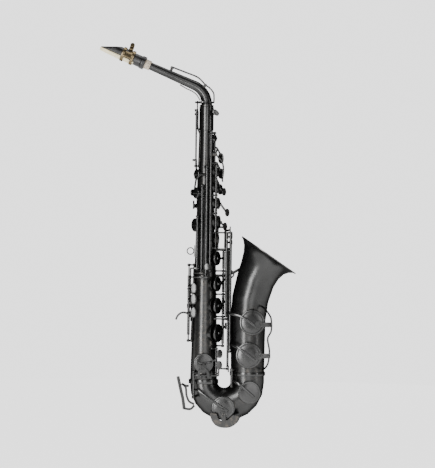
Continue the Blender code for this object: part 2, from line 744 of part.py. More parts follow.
def make_neck_octave_key():
    saddle_point, _ = neck_station(30)
    lift = Vector((math.cos(30 / NECK_BEND_R), 0, math.sin(30 / NECK_BEND_R)))
    pivot = saddle_point + lift * 12.4
    pip_point, pip_along = neck_station(NECK_BEND + 52)
    pip_up = Vector((pip_along.z, 0, -pip_along.x))
    pad, _ = cup(pip_point + pip_up * 11.6, pip_up, 3.4, GAP, 10)
    barrel = rod(pivot - LEFT * 3.9, pivot + LEFT * 3.9, 2.5, 10)
    bar_route = [pivot]
    for s, h in ((NECK_BEND, 16.2), (NECK_BEND + 24, 15.8), (NECK_BEND + 52, 14.6)):
        centre, direction = neck_station(s)
        bar_route.append(centre + Vector((direction.z, 0, -direction.x)) * h)
    bar = strap(bar_route, 5.0, 3.0, LEFT)
    # Past the saddle the bar carries a loop that comes down round the foot of the neck
    ring_z, ring_r, ring_x = NECK_BASE_Z + 3.2, 17.4, -3.8
    ring = turned(
        [(ring_r - 1.2, -1.3), (ring_r + 1.2, -1.3), (ring_r + 1.2, 1.3), (ring_r - 1.2, 1.3)],
        Vector((ring_x, 0, ring_z)),
        UP,
        20,
    )
    loop = strap(
        [
            pivot,
            pivot + Vector((8.0, 0, -5.5)),
            Vector((12.4, 0, 627)),
            Vector((13.6, 0, 619)),
            Vector((13.5, 0, ring_z)),
        ],
        4.6,
        2.8,
        LEFT,
    )
    node("neck_octave_key", [barrel, bar, pad, loop, ring], DARK, pivot=pivot)


def make_stack_key(name, line, low, high, arm_z, touch_at=None, touch_r=7.2, touch_dir=None):
    """A stack key: a tube on its rod, an arm over the cup, and a pearl holder on the arm."""
    angle, z, hole = TONE_HOLES[name]
    _, _, rim, direction = hole_seat(angle, z, hole)
    pad, back = cup(rim, direction, hole + CUP_MARGIN)
    start = on(line, arm_z)
    over = back + direction * 0.4
    toward = Vector((start.x - over.x, start.y - over.y, 0)).normalized()
    elbow = over + toward * (hole * 0.75) + direction * 0.2
    route = [over - toward * hole * 0.55, over, elbow, start]
    shapes = [pad, hinge_tube(line, low, high), arm(route, 4.2, 2.2)]
    if touch_at is not None:
        facing = touch_dir or direction
        shapes.append(touch_pearl(touch_at, facing, touch_r))
        shapes.append(arm([touch_at - facing * 0.6, over + direction * 0.2], 4.0, 2.2))
    node(name, shapes, DARK, [bore(line, low, high)], pivot=on(line, z))


def make_upper_stack():
    posts = [rib(60, 331, 500)]
    for z in (335.0, 400.0, 434.0, 494.0):
        posts += post(60, UPPER_LINE, z)
    posts.append(rod(on(UPPER_LINE, 333), on(UPPER_LINE, 496), ROD_R, 8))
    node("upper_stack_rib", posts, BLACK)
    facing = Vector((0.96, -0.28, 0))
    keys = (
        ("c_key", 468.0, 491.1, 478, None),
        ("key_b", 436.9, 467.4, 448, Vector((30.5, 3.0, 441))),
        ("key_a", 402.9, 431.1, 419, Vector((37.4, 1.4, 402))),
        ("key_g", 369.0, 397.1, 384, Vector((33.0, 3.0, 376))),
    )
    for name, start, stop, arm_z, touch in keys:
        make_stack_key(name, UPPER_LINE, start, stop, arm_z, touch, 7.4, facing)


def make_lower_stack():
    posts = [rib(-26, 148, 334)]
    for z in (151.0, 206.0, 248.0, 292.0, 331.0):
        posts += post(-26, LOWER_LINE, z)
    posts.append(rod(on(LOWER_LINE, 149), on(LOWER_LINE, 333), ROD_R, 8))
    node("lower_stack_rib", posts, BLACK)
    front = Vector((1, -0.1, 0)).normalized()
    keys = (
        ("f_sharp_aux", 296.0, 328.1, 316, None),
        ("key_f", 252.0, 289.1, 268, Vector((38.0, -4.2, 277))),
        ("key_e", 210.0, 245.1, 227, Vector((38.2, -4.2, 236))),
        ("key_d", 155.0, 203.1, 176, Vector((38.6, -4.2, 189))),
    )
    for name, start, stop, arm_z, touch in keys:
        make_stack_key(name, LOWER_LINE, start, stop, arm_z, touch, 6.8, front)


def make_side_keys():
    """The keys on the long tubes of the player's right: three side cups and the high F sharp."""
    posts = [rib(92, 274, 492, 6.0)]
    plan = (
        ("high_f_sharp", HIGH_FS_LINE, 552.0, 293.0, 541),
        ("high_e", HIGH_E_LINE, 487.0, 279.0, 473),
        ("side_c", SIDE_C_LINE, 452.0, 287.0, 438),
        ("side_bb", SIDE_BB_LINE, 394.0, 295.0, 378),
    )
    for name, line, top, bottom, arm_z in plan:
        if name in ("high_e", "side_c"):
            posts += post(92, line, top) + post(92, line, bottom)
        angle, z, hole = TONE_HOLES[name]
        _, _, rim, direction = hole_seat(angle, z, hole)
        pad, back = cup(rim, direction, hole + CUP_MARGIN)
        start = on(line, arm_z)
        over = back + direction * 0.4
        toward = Vector((start.x - over.x, start.y - over.y, 0)).normalized()
        route = [over - toward * hole * 0.55, over, over + toward * hole * 0.7 + direction * 0.6, start]
        radius = 2.5 if name == "high_f_sharp" else TUBE_R
        shapes = [pad, hinge_tube(line, bottom + 2.9, top - 2.9, radius), arm(route, 4.0, 2.2)]
        if name == "high_f_sharp":
            shapes.append(arm([on(line, 300.0), Vector((4.0, -34.2, 300.0))], 4.0, 2.2))
            shapes.append(oval_plate(Vector((3.6, -34.4, 300.0)), Vector((-0.2, -1, 0)), UP, 13, 10, 2.2))
        else:
            tip = TAIL_TIPS[name]
            tail_z = bottom + 7.0
            shapes.append(arm([on(line, tail_z), Vector((*tip, tail_z))], 3.6, 2.2))
        node(name, shapes, DARK, pivot=on(line, z))
    node("side_key_rib", posts, BLACK)


def make_levers():
    """The levers that lift the three side cups. They turn on one rod behind the right hand."""
    angle = angle_of(LEVER_LINE)
    posts = [rib(angle, 158, 306)]
    for z in (161.0, 258.0, 303.0):
        posts += post(angle, LEVER_LINE, z)
    posts.append(rod(on(LEVER_LINE, 159), on(LEVER_LINE, 305), ROD_R, 8))
    node("lever_rib", posts, BLACK)
    routes = {
        "high_e": (261, 283, 259.5, [(*LEVER_LINE, 280.5), (-22, -29, 280.5), (-6, -35.4, 280.5)]),
        "side_c": (
            232,
            255,
            239,
            [
                (*LEVER_LINE, 250), (-20.8, -13.5, 250), (-20.8, -13.5, 287), (-19, -29, 288.5),
                (-8, -34.2, 288.5),
            ],
        ),
        "side_bb": (
            172,
            231.2,
            214,
            [
                (*LEVER_LINE, 227), (-26.5, -1.5, 227), (-26.5, -1.5, 296), (-25.5, -17, 297),
                (-20, -30.5, 297),
            ],
        ),
    }
    for name, (low, high, touch_z, route) in routes.items():
        shapes = [hinge_tube(LEVER_LINE, low, high)]
        points = [Vector(p) for p in route] + [Vector((*TAIL_TIPS[name], route[-1][2]))]
        for start, end in zip(points, points[1:]):
            shapes.append(link(start, end, 2.8))
        plate = oval_plate(Vector((-20.5, -26.0, touch_z)), Vector((-0.25, -1, 0)), UP, 19, 12, 2.2)
        arm_z = min(max(touch_z, low + 3), high - 3)
        shapes.append(
            arm([on(LEVER_LINE, arm_z), Vector((-27, -20, arm_z)), Vector((-21, -25.6, touch_z))], 4.5, 2.4)
        )
        shapes.append(plate)
        node(name + "_lever", shapes, DARK, [bore(LEVER_LINE, low, high)], pivot=on(LEVER_LINE, touch_z))


def link(start, end, width):
    """A square bar that runs on a little past its points, so that the next bar meets it at a corner."""
    run = (end - start).normalized()
    across = UP if abs(run.z) < 0.8 else FRONT
    return strap([start - run * width * 0.35, end + run * width * 0.35], width, width * 0.8, across)


# ---------------------------------------------------------------- keys for the left hand


def make_palm_keys():
    angle = angle_of(PALM_LINE)
    posts = [rib(angle, 456, 554, 4.6)]
    for z in (457.5, 488.0, 516.0, 552.0):
        posts += post(angle, PALM_LINE, z, 4.6)
    posts.append(rod(on(PALM_LINE, 457), on(PALM_LINE, 553), ROD_R, 8))
    node("palm_rib", posts, BLACK)
    plan = (
        ("palm_d", 460.2, 485.3, [(20, 22.5, 465), (26.5, 26, 452)], (27.0, 26.6, 446.0)),
        ("palm_eb", 490.7, 513.3, [(20, 23.5, 496), (27.5, 29, 482)], (28.0, 29.6, 476.0)),
        ("palm_f", 518.7, 549.3, [(20, 23.5, 524), (27.5, 31, 511)], (28.0, 31.6, 505.0)),
    )
    for name, low, high, reach, touch in plan:
        angle, z, hole = TONE_HOLES[name]
        _, _, rim, direction = hole_seat(angle, z, hole)
        pad, back = cup(rim, direction, hole + CUP_MARGIN, GAP)
        over = back + direction * 0.2
        start = on(PALM_LINE, z)
        route = [over - Vector((hole * 0.5, 0, 0)), over, over + Vector((hole * 0.7, 0.4, 0)), start]
        shapes = [pad, hinge_tube(PALM_LINE, low, high), arm(route, 4.0, 2.2)]
        points = [on(PALM_LINE, reach[0][2])] + [Vector(p) for p in reach]
        shapes.append(arm(points, 4.0, 2.2, Vector((0.7, -0.7, 0.6))))
        shapes.append(oval_plate(Vector(touch), Vector((0.45, 1, 0.1)), UP, 20, 11.5, 2.4))
        node(name, shapes, DARK, [bore(PALM_LINE, low, high)], pivot=on(PALM_LINE, z))


def make_front_f():
    """The front F lever. It rocks on a cross pin in its saddle at the front of the body tube."""
    pivot = Vector((body_radius(FRONT_F_Z) + FRONT_F_OUT, 0, FRONT_F_Z))
    barrel = rod(pivot - LEFT * 3.5, pivot + LEFT * 3.5, 2.6, 8)
    route = [
        pivot + Vector((1.6, 0, 9.5)),
        pivot + Vector((0.8, 0, 0)),
        Vector((30.5, 0, 496)),
        Vector((33.0, 0, 481)),
        Vector((31.2, 0, 464.5)),
    ]
    shapes = [barrel, strap(route, 5.0, 3.2, LEFT)]
    shapes.append(touch_pearl(Vector((31.0, 0, 464.0)), Vector((1, 0, 0.12)), 5.0))
    hole = rod(pivot - LEFT * 8, pivot + LEFT * 8, 1.35, 8)
    node("front_f", shapes, DARK, [hole], pivot=pivot)


def make_octave():
    """The pin that lifts the ring of the neck's octave key, and the thumb lever that moves it."""
    angle = angle_of(OCTAVE_LINE)
    posts = [rib(angle, 486.5, 554.5, 5.0)]
    posts += post(angle, OCTAVE_LINE, 488.5, 4.6)
    # The upper bearing reaches up past the receiver from the top of the strip
    posts.append(rod(on(OCTAVE_LINE, 590.7), on(OCTAVE_LINE, 595.3), POST_HEAD_R, 8))
    riser = around(19.4, angle, 0)
    route = [
        around(body_radius(553) + GAP + 1.2, angle, 549),
        riser + Vector((0, 0, 562)),
        riser + Vector((0, 0, 591.5)),
    ]
    posts.append(strap(route, 4.4, 2.2, out(angle).cross(UP)))
    posts.append(arm([riser + Vector((0, 0, 593)), on(OCTAVE_LINE, 593)], 3.6, 3.6))
    node("octave_rib", posts, BLACK)
    low, high = 491.2, 590.3
    shapes = [hinge_tube(OCTAVE_LINE, low, high, 2.0)]
    pin = Vector((-17.4, 1.0, 0))
    shapes.append(
        arm([on(OCTAVE_LINE, 586.0), Vector((-21.5, -5, 586.0)), pin + Vector((-1, 0, 586.0))], 4.0, 2.4)
    )
    shapes.append(rod(pin + Vector((0, 0, 584.0)), pin + Vector((0, 0, 611.5)), 1.3, 8))
    reach = [
        on(OCTAVE_LINE, 500.0),
        Vector((-24.3, -6, 500.0)),
        Vector((-24.2, 3, 500.0)),
        around(23.4, THUMB_ANGLE, 500.0),
    ]
    shapes.append(arm(reach, 3.6, 2.2))
    node("octave_pin_key", shapes, DARK, pivot=on(OCTAVE_LINE, 540))

    # The thumb rest and the lever's saddle share a strip. The lever rocks like a see-saw in the saddle
    away = out(THUMB_ANGLE)
    along = away.cross(UP)
    wall = body_radius(THUMB_PIVOT_Z) + GAP
    posts = [rib(THUMB_ANGLE, 409, 478, 5.0)]
    for side in (-4.6, 4.6):
        foot = around(wall + 0.3, THUMB_ANGLE, THUMB_PIVOT_Z) + along * side
        posts.append(strap([foot, foot + away * 6.6], 6.0, 1.8, UP))
    saddle = [around(wall + 0.9, THUMB_ANGLE, THUMB_PIVOT_Z + rise) for rise in (-4, 4)]
    posts.append(strap(saddle, 10.6, 1.2, along))
    pivot = thumb_pivot()
    posts.append(rod(pivot - along * 5.0, pivot + along * 5.0, 1.0, 8))
    seat = Vector(THUMB_REST)
    posts.append(rod(seat, seat + Vector((3.2, 0, 0)), THUMB_REST_R, 16))
    stalk = [
        seat + Vector((1.8, 0, 0)),
        Vector((-21.5, 4.0, 414)),
        around(body_radius(414) + GAP + 1.0, THUMB_ANGLE, 414),
    ]
    posts.append(arm(stalk, 8.0, 2.4))
    node("thumb_rest", posts, BLACK)
    barrel = rod(pivot - along * 3.3, pivot + along * 3.3, 2.6, 8)
    route = [
        around(24.6, THUMB_ANGLE, 440),
        around(22.4, THUMB_ANGLE, 454),
        pivot + away * 0.6,
        around(20.6, THUMB_ANGLE, 484),
        around(20.8, THUMB_ANGLE, 502),
    ]
    shapes = [barrel, strap(route, 4.4, 2.0, along)]
    shapes.append(oval_plate(around(25.0, THUMB_ANGLE, 439) - along * 3.0, away, along, 20, 13, 2.4))
    hole = rod(pivot - along * 8, pivot + along * 8, 1.35, 8)
    node("octave_thumb_lever", shapes, DARK, [hole], pivot=pivot)


def thumb_pivot():
    return around(body_radius(THUMB_PIVOT_Z) + GAP + 4.6, THUMB_ANGLE, THUMB_PIVOT_Z)


def make_g_sharp():
    line = G_SHARP_LINE
    posts = [rib(-72, 330, 377, 5.0)]
    for z in (332.5, 374.5):
        posts += post(-72, line, z, 4.6)
    lever = TABLE_LINE
    posts.append(rod(on(line, 332), on(line, 375), ROD_R, 8))
    for z in (332.5, 374.5):
        posts += [
            rod(on(lever, z - 2.3), on(lever, z + 2.3), POST_HEAD_R, 10),
            arm([on(line, z), on(lever, z)], 3.6, 3.0),
        ]
    posts.append(rod(on(lever, 332), on(lever, 375), ROD_R, 8))
    node("table_rib", posts, BLACK)
    angle, z, hole = TONE_HOLES["g_sharp"]
    _, _, rim, direction = hole_seat(angle, z, hole)
    pad, back = cup(rim, direction, hole + CUP_MARGIN, GAP)
    low, high = 335.3, 371.7
    start = on(line, z)
    over = back + direction * 0.2
    side = start - over
    side = (side - direction * side.dot(direction)).normalized()
    shapes = [pad, hinge_tube(line, low, high)]
    shapes.append(arm([over - side * 6, over, over + side * 8.5 + direction * 0.6, start], 4.2, 2.2))
    node("g_sharp", shapes, DARK, [bore(line, low, high)], pivot=on(line, z))
    shapes = [hinge_tube(lever, low, high, 2.6)]
    shapes.append(oval_plate(Vector((47.0, 14.0, 371.0)), FRONT, LEFT, 23, 10.5, 2.4))
    shapes.append(
        arm([on(lever, 368.0), Vector((44.8, 23.0, 369.0)), Vector((46.6, 16.0, 370.5))], 4.0, 2.4)
    )
    node("g_sharp_lever", shapes, DARK, [bore(lever, low, high)], pivot=on(lever, 365))


# ---------------------------------------------------------------- keys of the bell, the bow and the foot


def side_cup(x, z, hole):
    """A pad cup that faces a tone hole on the bow's or the bell's -Y side."""
    return cup(Vector((x, SIDE_RIM_Y, z)), RIGHT, hole + 2.4, GAP, 18)


def make_bell_keys():
    """Low B flat, low B and low C sharp, with their long tubes between the body tube and the bell."""
    y_arm = SIDE_RIM_Y - GAP - CUP_T - 0.4

    x, z, hole = BELL_HOLES["low_bb"]
    pad, _ = side_cup(x, z, hole)
    shapes = [pad, hinge_tube(LOW_BB_LINE, 205.6, 351.6)]
    shapes.append(
        arm(
            [
                on(LOW_BB_LINE, 216),
                Vector((51, -34, 213)),
                Vector((74, y_arm, 207)),
                Vector((104, y_arm, 186)),
            ],
            5.0,
            2.4,
            Vector((0.4, 0, 1)),
        )
    )
    shapes.append(arm([on(LOW_BB_LINE, 346), Vector((43.2, -6, 346)), Vector((45.0, 6, 346))], 4.0, 2.4))
    shapes.append(oval_plate(Vector((46.0, 14, 346)), FRONT, LEFT, 23, 9.5, 2.4))
    node("low_bb", shapes, DARK, pivot=on(LOW_BB_LINE, z))

    x, z, hole = BELL_HOLES["low_b"]
    pad, _ = side_cup(x, z, hole)
    shapes = [pad, hinge_tube(LOW_B_LINE, 145.1, 361.1)]
    shapes.append(
        arm(
            [
                on(LOW_B_LINE, 158),
                Vector((56, -34, 154)),
                Vector((70, y_arm, 148)),
                Vector((98, y_arm, 127)),
            ],
            5.0,
            2.4,
            Vector((0.4, 0, 1)),
        )
    )
    shapes.append(arm([on(LOW_B_LINE, 357.5), Vector((47.2, -6, 357.5)), Vector((45.8, 4, 358))], 4.0, 2.4))
    shapes.append(oval_plate(Vector((46.2, 8.0, 358)), FRONT, UP, 11, 11, 2.4))
    node("low_b", shapes, DARK, pivot=on(LOW_B_LINE, z))

    x, z, hole = BOW_HOLES["low_c_sharp"]
    pad, _ = side_cup(x, z, hole)
    shapes = [pad, hinge_tube(CS_CUP_LINE, 80.9, 105.6)]
    shapes.append(
        arm(
            [on(CS_CUP_LINE, 90), Vector((60, -36, 86)), Vector((69, y_arm, 80)), Vector((95, y_arm, 58))],
            5.0,
            2.4,
            Vector((0.5, 0, 1)),
        )
    )
    shapes.append(arm([on(CS_CUP_LINE, 101), Vector((50.8, -20.5, 101))], 3.4, 2.2))
    node("low_c_sharp", shapes, DARK, pivot=on(CS_CUP_LINE, z))

    shapes = [hinge_tube(CS_LEVER_LINE, 112.1, 330.4, 2.5)]
    shapes.append(arm([on(CS_LEVER_LINE, 114.5), Vector((46.4, -20.5, 114.5))], 3.4, 2.2))
    shapes.append(link(Vector((46.4, -20.2, 114.5)), Vector((46.4, -20.6, 104.0)), 2.6))
    bends = [(44.6, -2, 328), (40.0, 9, 340), (39.0, 16.5, 353.5), (48.6, 19.6, 357.2)]
    route = [on(CS_LEVER_LINE, 326.5)] + [Vector(point) for point in bends]
    shapes.append(arm(route, 3.4, 2.2, Vector((0, -0.5, 1))))
    shapes.append(oval_plate(Vector((48.8, 19.8, 358)), FRONT, UP, 11, 10.5, 2.4))
    node("c_sharp_lever", shapes, DARK, pivot=on(CS_LEVER_LINE, 220))


def make_foot_keys():
    """Low E flat on the body tube and low C on the bow, with their two touches for the little finger."""
    face = Vector((0.25, -1, 0))
    angle, z, hole = TONE_HOLES["low_eb"]
    _, _, rim, direction = hole_seat(angle, z, hole)
    pad, back = cup(rim, direction, hole + CUP_MARGIN, GAP, 16)
    over = back + direction * 0.4
    shapes = [pad, hinge_tube(EB_LINE, 103.9, 144.1)]
    shapes.append(
        arm([over - Vector((9, 0, 0)), over, over + Vector((12, 0.4, 2)), on(EB_LINE, 127)], 4.4, 2.2)
    )
    shapes.append(arm([on(EB_LINE, 138), Vector((28.5, -30.8, 138))], 4.0, 2.4))
    shapes.append(oval_plate(Vector((29.4, -32.0, 138)), face, UP, 16, 11.5, 2.4))
    node("low_eb", shapes, DARK, pivot=on(EB_LINE, z))

    x, z, hole = BOW_HOLES["low_c"]
    pad, _ = side_cup(x, z, hole)
    y_arm = SIDE_RIM_Y - GAP - CUP_T - 0.4
    shapes = [pad, hinge_tube(LOW_C_LINE, 58.9, 101.1)]
    shapes.append(
        arm(
            [
                on(LOW_C_LINE, 70),
                Vector((-9, -36.5, 69)),
                Vector((15, y_arm, 53)),
                Vector((48, y_arm, 31.5)),
            ],
            5.0,
            2.4,
            Vector((0.4, 0, 1)),
        )
    )
    shapes.append(
        arm([on(LOW_C_LINE, 97.6), Vector((-12, -34.0, 97.6)), Vector((28.4, -34.0, 97.6))], 3.4, 2.4)
    )
    shapes.append(link(Vector((28.4, -33.8, 97.6)), Vector((29.0, -32.0, 112)), 3.4))
    shapes.append(oval_plate(Vector((29.4, -32.0, 117)), face, UP, 16, 11.5, 2.4))
    node("low_c", shapes, DARK, pivot=on(LOW_C_LINE, z))


# ---------------------------------------------------------------- guards, braces and what the player holds


def bumper(centre, radius=6.0):
    """The round end of a guard, with the adjusting screw that limits how far a cup opens."""
    return turned([(0, 0), (radius, 0), (radius, 1.8), (2.4, 1.8), (2.4, 4.2), (0, 4.2)], centre, RIGHT, 12)


def slab(outline, front, back):
    """A flat plate with an outline in the XZ plane, between two depths in Y."""
    count = len(outline)
    points = [Vector((p.x, y, p.z)) for y in (front, back) for p in outline]
    faces = [list(range(count)), list(range(count, 2 * count))]
    faces += [[i, (i + 1) % count, count + (i + 1) % count, count + i] for i in range(count)]
    return mesh_of(points, faces)


def make_guards():
    route = [
        Vector((106.0, -29.0, 228)),
        Vector((112.0, -37.0, 224)),
        Vector((119.5, -46.0, 215)),
        Vector((124.5, -52.0, 205)),
        Vector((125.0, -52.0, 183)),
        Vector((118.5, -52.0, 168)),
        Vector((122.0, -52.0, 145)),
        Vector((120.0, -50.0, 124)),
        Vector((115.0, -36.0, 113)),
        Vector((110.4, -20.2, 109)),
    ]
    shapes = [wire(route, 1.7, 6)]
    for z in (198.0, 140.0):
        shapes.append(strap([Vector((124, -52.3, z - 4)), Vector((104, -53.2, z - 4))], 9.0, 1.8, UP))
        shapes.append(bumper(Vector((102.0, -52.4, z - 4)), 7.0))
    node("bell_key_guard", shapes, BLACK)

    # The low C guard is a cradle: a face plate in front of the cup's lower half and a wall back to the bow
    edge = (
        (12.9, 29), (14.6, 21.5), (18.6, 12.5), (25, 6.0), (32, 3.2), (41, 2.2), (50, 3.4),
        (58, 7.6), (65, 14.2), (69, 22.5),
    )
    inner = ((25.5, 27.5), (27, 20.5), (32, 15.5), (38.4, 13.8), (45, 15.5), (51, 21), (56, 25.5))
    front, back = -52.6, -50.9
    outline = [Vector((x, 0, z)) for x, z in edge + tuple(reversed(inner))]
    shapes = [slab(outline, front, back)]
    wall = [Vector((x, -38.0, z)) for x, z in edge]
    shapes.append(strap(wall, 28.0, 1.6, RIGHT))
    shapes.append(strap([Vector((38.4, -51.8, 10)), Vector((38.4, -51.8, 30))], 8.0, 1.8, FRONT))
    shapes.append(bumper(Vector((38.4, -50.9, 30.0)), 7.0))
    node("low_c_guard", shapes, BLACK)

    shapes = []
    route = [
        Vector((-9.0, -25.6, 92.3)),
        Vector((-9.6, -40, 91.6)),
        Vector((-7.5, -43.5, 104)),
        Vector((0, -43.5, 112)),
    ]
    shapes.append(strap(route, 5.0, 1.8, FRONT))
    other = [
        Vector((9.0, -25.6, 92.3)),
        Vector((9.6, -40, 91.6)),
        Vector((7.5, -43.5, 104)),
        Vector((0, -43.5, 112)),
    ]
    shapes.append(strap(other, 5.0, 1.8, FRONT))
    shapes.append(bumper(Vector((0, -43.0, 113)), 6.0))
    node("low_eb_guard", shapes, BLACK)

    # The clothes guard stands off the back of the bow on two feet
    y = -4.0

    def bar(points, width):
        return strap([Vector((px, y, pz)) for px, pz in points], 3.0, width, LEFT)

    shapes = [
        bar([(-48.2, 93.5), (-42.5, 68.0), (-38.6, 52.0), (-35.6, 31.5)], 6.0),
        bar([(-36.5, 33.2), (-24.0, 32.2), (-16.6, 39.2)], 4.4),
        bar([(-41.0, 80.0), (-33.5, 73.0), (-31.6, 58.0), (-27.0, 47.0), (-20.0, 42.6), (-17.0, 42.0)], 4.2),
        bar([(-40.0, 79.0), (-33.5, 76.0), (-27.2, 75.5)], 4.5),
    ]
    node("clothes_guard", shapes, BLACK)


def make_brace():
    """The brace that joins the body tube and the bell."""
    z = 283.0
    foot = around(body_radius(z) + GAP + 1.6, -56, z)
    left = Vector((40.0, 20.0, z))
    right = Vector((57.0, 20.0, 290.0))
    shapes = [
        strap(
            [around(body_radius(z + d) + GAP + 0.9, -56, z + d) for d in (-9, 9)],
            10.0,
            1.6,
            out(-56).cross(UP),
        )
    ]
    shapes.append(rod(foot, left, 2.6, 8))
    shapes.append(rod(left + Vector((-2, 0, 0)), right, 2.6, 8))
    shapes.append(
        turned([(5.0, -2.0), (8.2, -2.0), (8.2, 2.0), (5.0, 2.0)], Vector((48.0, 20.0, 286)), LEFT, 14)
    )
    centre, along = bell_station(186.0)
    side = Vector((-along.z, 0, along.x))
    at = centre + (side * 0.86 + LEFT * 0.51).normalized() * (38.2 + GAP + 1.0)
    shapes.append(rod(right + Vector((-1, 0, 0)), at, 2.6, 8))
    normal = (at - centre).normalized()
    shapes.append(strap([at - along * 8, at + along * 8], 10.0, 1.6, along.cross(normal)))
    node("bell_brace", shapes, BLACK)


def make_holds():
    """The strap ring and the thumb hook, each on its own base on the back of the body tube."""
    x, _, z = RING_CENTRE
    wall = body_radius(z) + GAP
    ring = turned([(5.2, -1.05), (7.3, -1.05), (7.3, 1.05), (5.2, 1.05)], RING_CENTRE, LEFT, 20)
    base = strap([Vector((-body_radius(z + d) - GAP - 1.0, 0, z + d)) for d in (-11, 11)], 8.0, 1.6, LEFT)
    stem = rod(Vector((-wall - 0.6, 0, z)), Vector((x + 6.0, 0, z)), 2.2, 8)
    node("strap_ring", [ring, base, stem], DARK)

    y = 6.0
    back = [
        Vector((-math.sqrt((body_radius(q) + GAP + 1.3) ** 2 - y * y) - 1.2, y, q)) for q in (197.0, 232.0)
    ]
    plate = strap(back, 10.0, 1.8, Vector((0.28, 1, 0)))
    hook = [
        Vector((-23.2, y, 203.6)),
        Vector((-33, y, 212)),
        Vector((-43, y, 212.5)),
        Vector((-50, y, 207)),
        Vector((-53.5, y, 199.5)),
    ]
    shapes = [plate, strap(hook, 11.0, 3.6, LEFT)]
    knob = rod(Vector((-22.4, y, 226)), Vector((-33.0, y, 226)), 4.2, 12)
    shapes.append(knob)
    node("thumb_hook", shapes, DARK)


def make_scene():
    clear_scene()
    frame = bpy.data.objects.new("saxophone", None)
    bpy.context.scene.collection.objects.link(frame)
    frame.location = -RING_CENTRE * MM
    make_body_tube()
    make_bow()
    make_bell()
    make_rings()
    make_neck()
    make_mouthpiece()
    make_neck_octave_key()
    make_upper_stack()
    make_lower_stack()
    make_side_keys()
    make_levers()
    make_palm_keys()
    make_front_f()
    make_octave()
    make_g_sharp()
    make_bell_keys()
    make_foot_keys()
    make_guards()
    make_brace()
    make_holds()


make_scene()
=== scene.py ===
"""The looks of the alto saxophone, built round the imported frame.

Every CAD node is replaced by a finer piece of the same place and size: turned cups with leather pads,
crowned arms, ball posts, rolled rims. Lengths are in millimetres in a design frame whose Z axis is the body
tube's own axis; the neck strap's ring is at RING_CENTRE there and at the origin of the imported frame.
"""

import json
import math

import bmesh
import bpy
from mathutils import Matrix, Vector

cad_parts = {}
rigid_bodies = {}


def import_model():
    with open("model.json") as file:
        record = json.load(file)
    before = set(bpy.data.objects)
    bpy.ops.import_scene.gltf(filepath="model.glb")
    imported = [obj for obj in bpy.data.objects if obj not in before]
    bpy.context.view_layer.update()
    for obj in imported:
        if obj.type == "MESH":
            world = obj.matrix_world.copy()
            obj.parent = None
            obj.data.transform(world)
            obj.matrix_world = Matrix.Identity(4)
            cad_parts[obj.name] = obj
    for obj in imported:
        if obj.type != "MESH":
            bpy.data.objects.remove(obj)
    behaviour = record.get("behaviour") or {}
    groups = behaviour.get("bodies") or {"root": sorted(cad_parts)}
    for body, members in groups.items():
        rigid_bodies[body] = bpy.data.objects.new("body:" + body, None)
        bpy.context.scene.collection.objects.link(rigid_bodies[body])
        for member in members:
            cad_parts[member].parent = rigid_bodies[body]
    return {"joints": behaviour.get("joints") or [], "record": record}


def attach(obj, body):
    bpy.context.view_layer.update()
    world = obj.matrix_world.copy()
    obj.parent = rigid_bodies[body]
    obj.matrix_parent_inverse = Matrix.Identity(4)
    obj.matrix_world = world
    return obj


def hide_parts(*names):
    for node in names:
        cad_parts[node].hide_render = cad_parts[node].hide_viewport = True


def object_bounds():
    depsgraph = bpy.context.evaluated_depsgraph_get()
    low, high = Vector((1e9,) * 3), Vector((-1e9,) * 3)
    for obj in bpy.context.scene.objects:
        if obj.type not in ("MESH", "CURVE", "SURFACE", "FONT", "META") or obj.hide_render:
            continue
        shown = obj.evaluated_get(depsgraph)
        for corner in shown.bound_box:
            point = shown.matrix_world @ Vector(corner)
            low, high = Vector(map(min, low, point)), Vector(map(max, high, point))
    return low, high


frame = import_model()
CAD_BOX = [list(corner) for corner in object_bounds()]
BODY_OF = {node: body for body, nodes in frame["record"]["behaviour"]["bodies"].items() for node in nodes}
JOINTS = {joint["name"]: joint for joint in frame["joints"]}

MM = 0.001


def vec(x, y, z):
    return Vector((x, y, z))


RING_CENTRE = vec(-27.3, 0.0, 329.0)
UP, LEFT, FRONT = vec(0, 0, 1), vec(0, 1, 0), vec(1, 0, 0)
RIGHT = -LEFT


def hinge_line(joint):
    """X and Y, in the design frame, of a hinge that stands along Z."""
    place = Vector(JOINTS[joint]["pos_m"]) / MM + RING_CENTRE
    return (place.x, place.y)


# Driving dimensions of the bore
BODY_FOOT_Z, BODY_TOP_Z = 83.0, 566.0
BODY_FOOT_R, BODY_TOP_R = 25.5, 12.0
WALL = 1.1
BOW_BEND_R = 41.2
BELL_X = 2 * BOW_BEND_R
BELL_FOOT_Z = 100.0
BELL_STRAIGHT_TOP_Z = 200.0
BELL_ARC_R = 220.0
NECK_BASE_Z, NECK_BEND_R, NECK_TURN = 605.4, 38.0, math.radians(66.9)
NECK_STRAIGHT = 104.0
NECK_BEND = NECK_BEND_R * NECK_TURN
NECK_END = NECK_BEND + NECK_STRAIGHT
NECK_TIP = NECK_END + 14.0
NECK_SADDLE_AT, NECK_VENT_AT = 30.0, NECK_BEND + 52
# The mouthpiece's shank starts here from the neck's end, and its table lies this far below its axis
SHANK_AT, MOUTHPIECE_LENGTH, TABLE_DROP = -2.0, 89.0, 7.8
MOUTHPIECE_TWIST = math.radians(22)

# The bell's outside and its bore, as (distance along its axis from its foot, radius)
BELL_PROFILE = [
    (0, 31.5), (60, 32.2), (100, 33.0), (140, 34.5), (176, 36.2), (198, 39.0),
    (213, 43.6), (222, 49.6), (227.5, 56.0), (230, 61.3), (231.4, 61.3),
]
BELL_BORE = [
    (-4, 30.4), (60, 31.1), (100, 31.9), (140, 33.4), (176.2, 35.1), (198.5, 37.8),
    (214, 42.4), (223.2, 48.6), (228.9, 55.4), (231.4, 60.6), (236, 68),
]

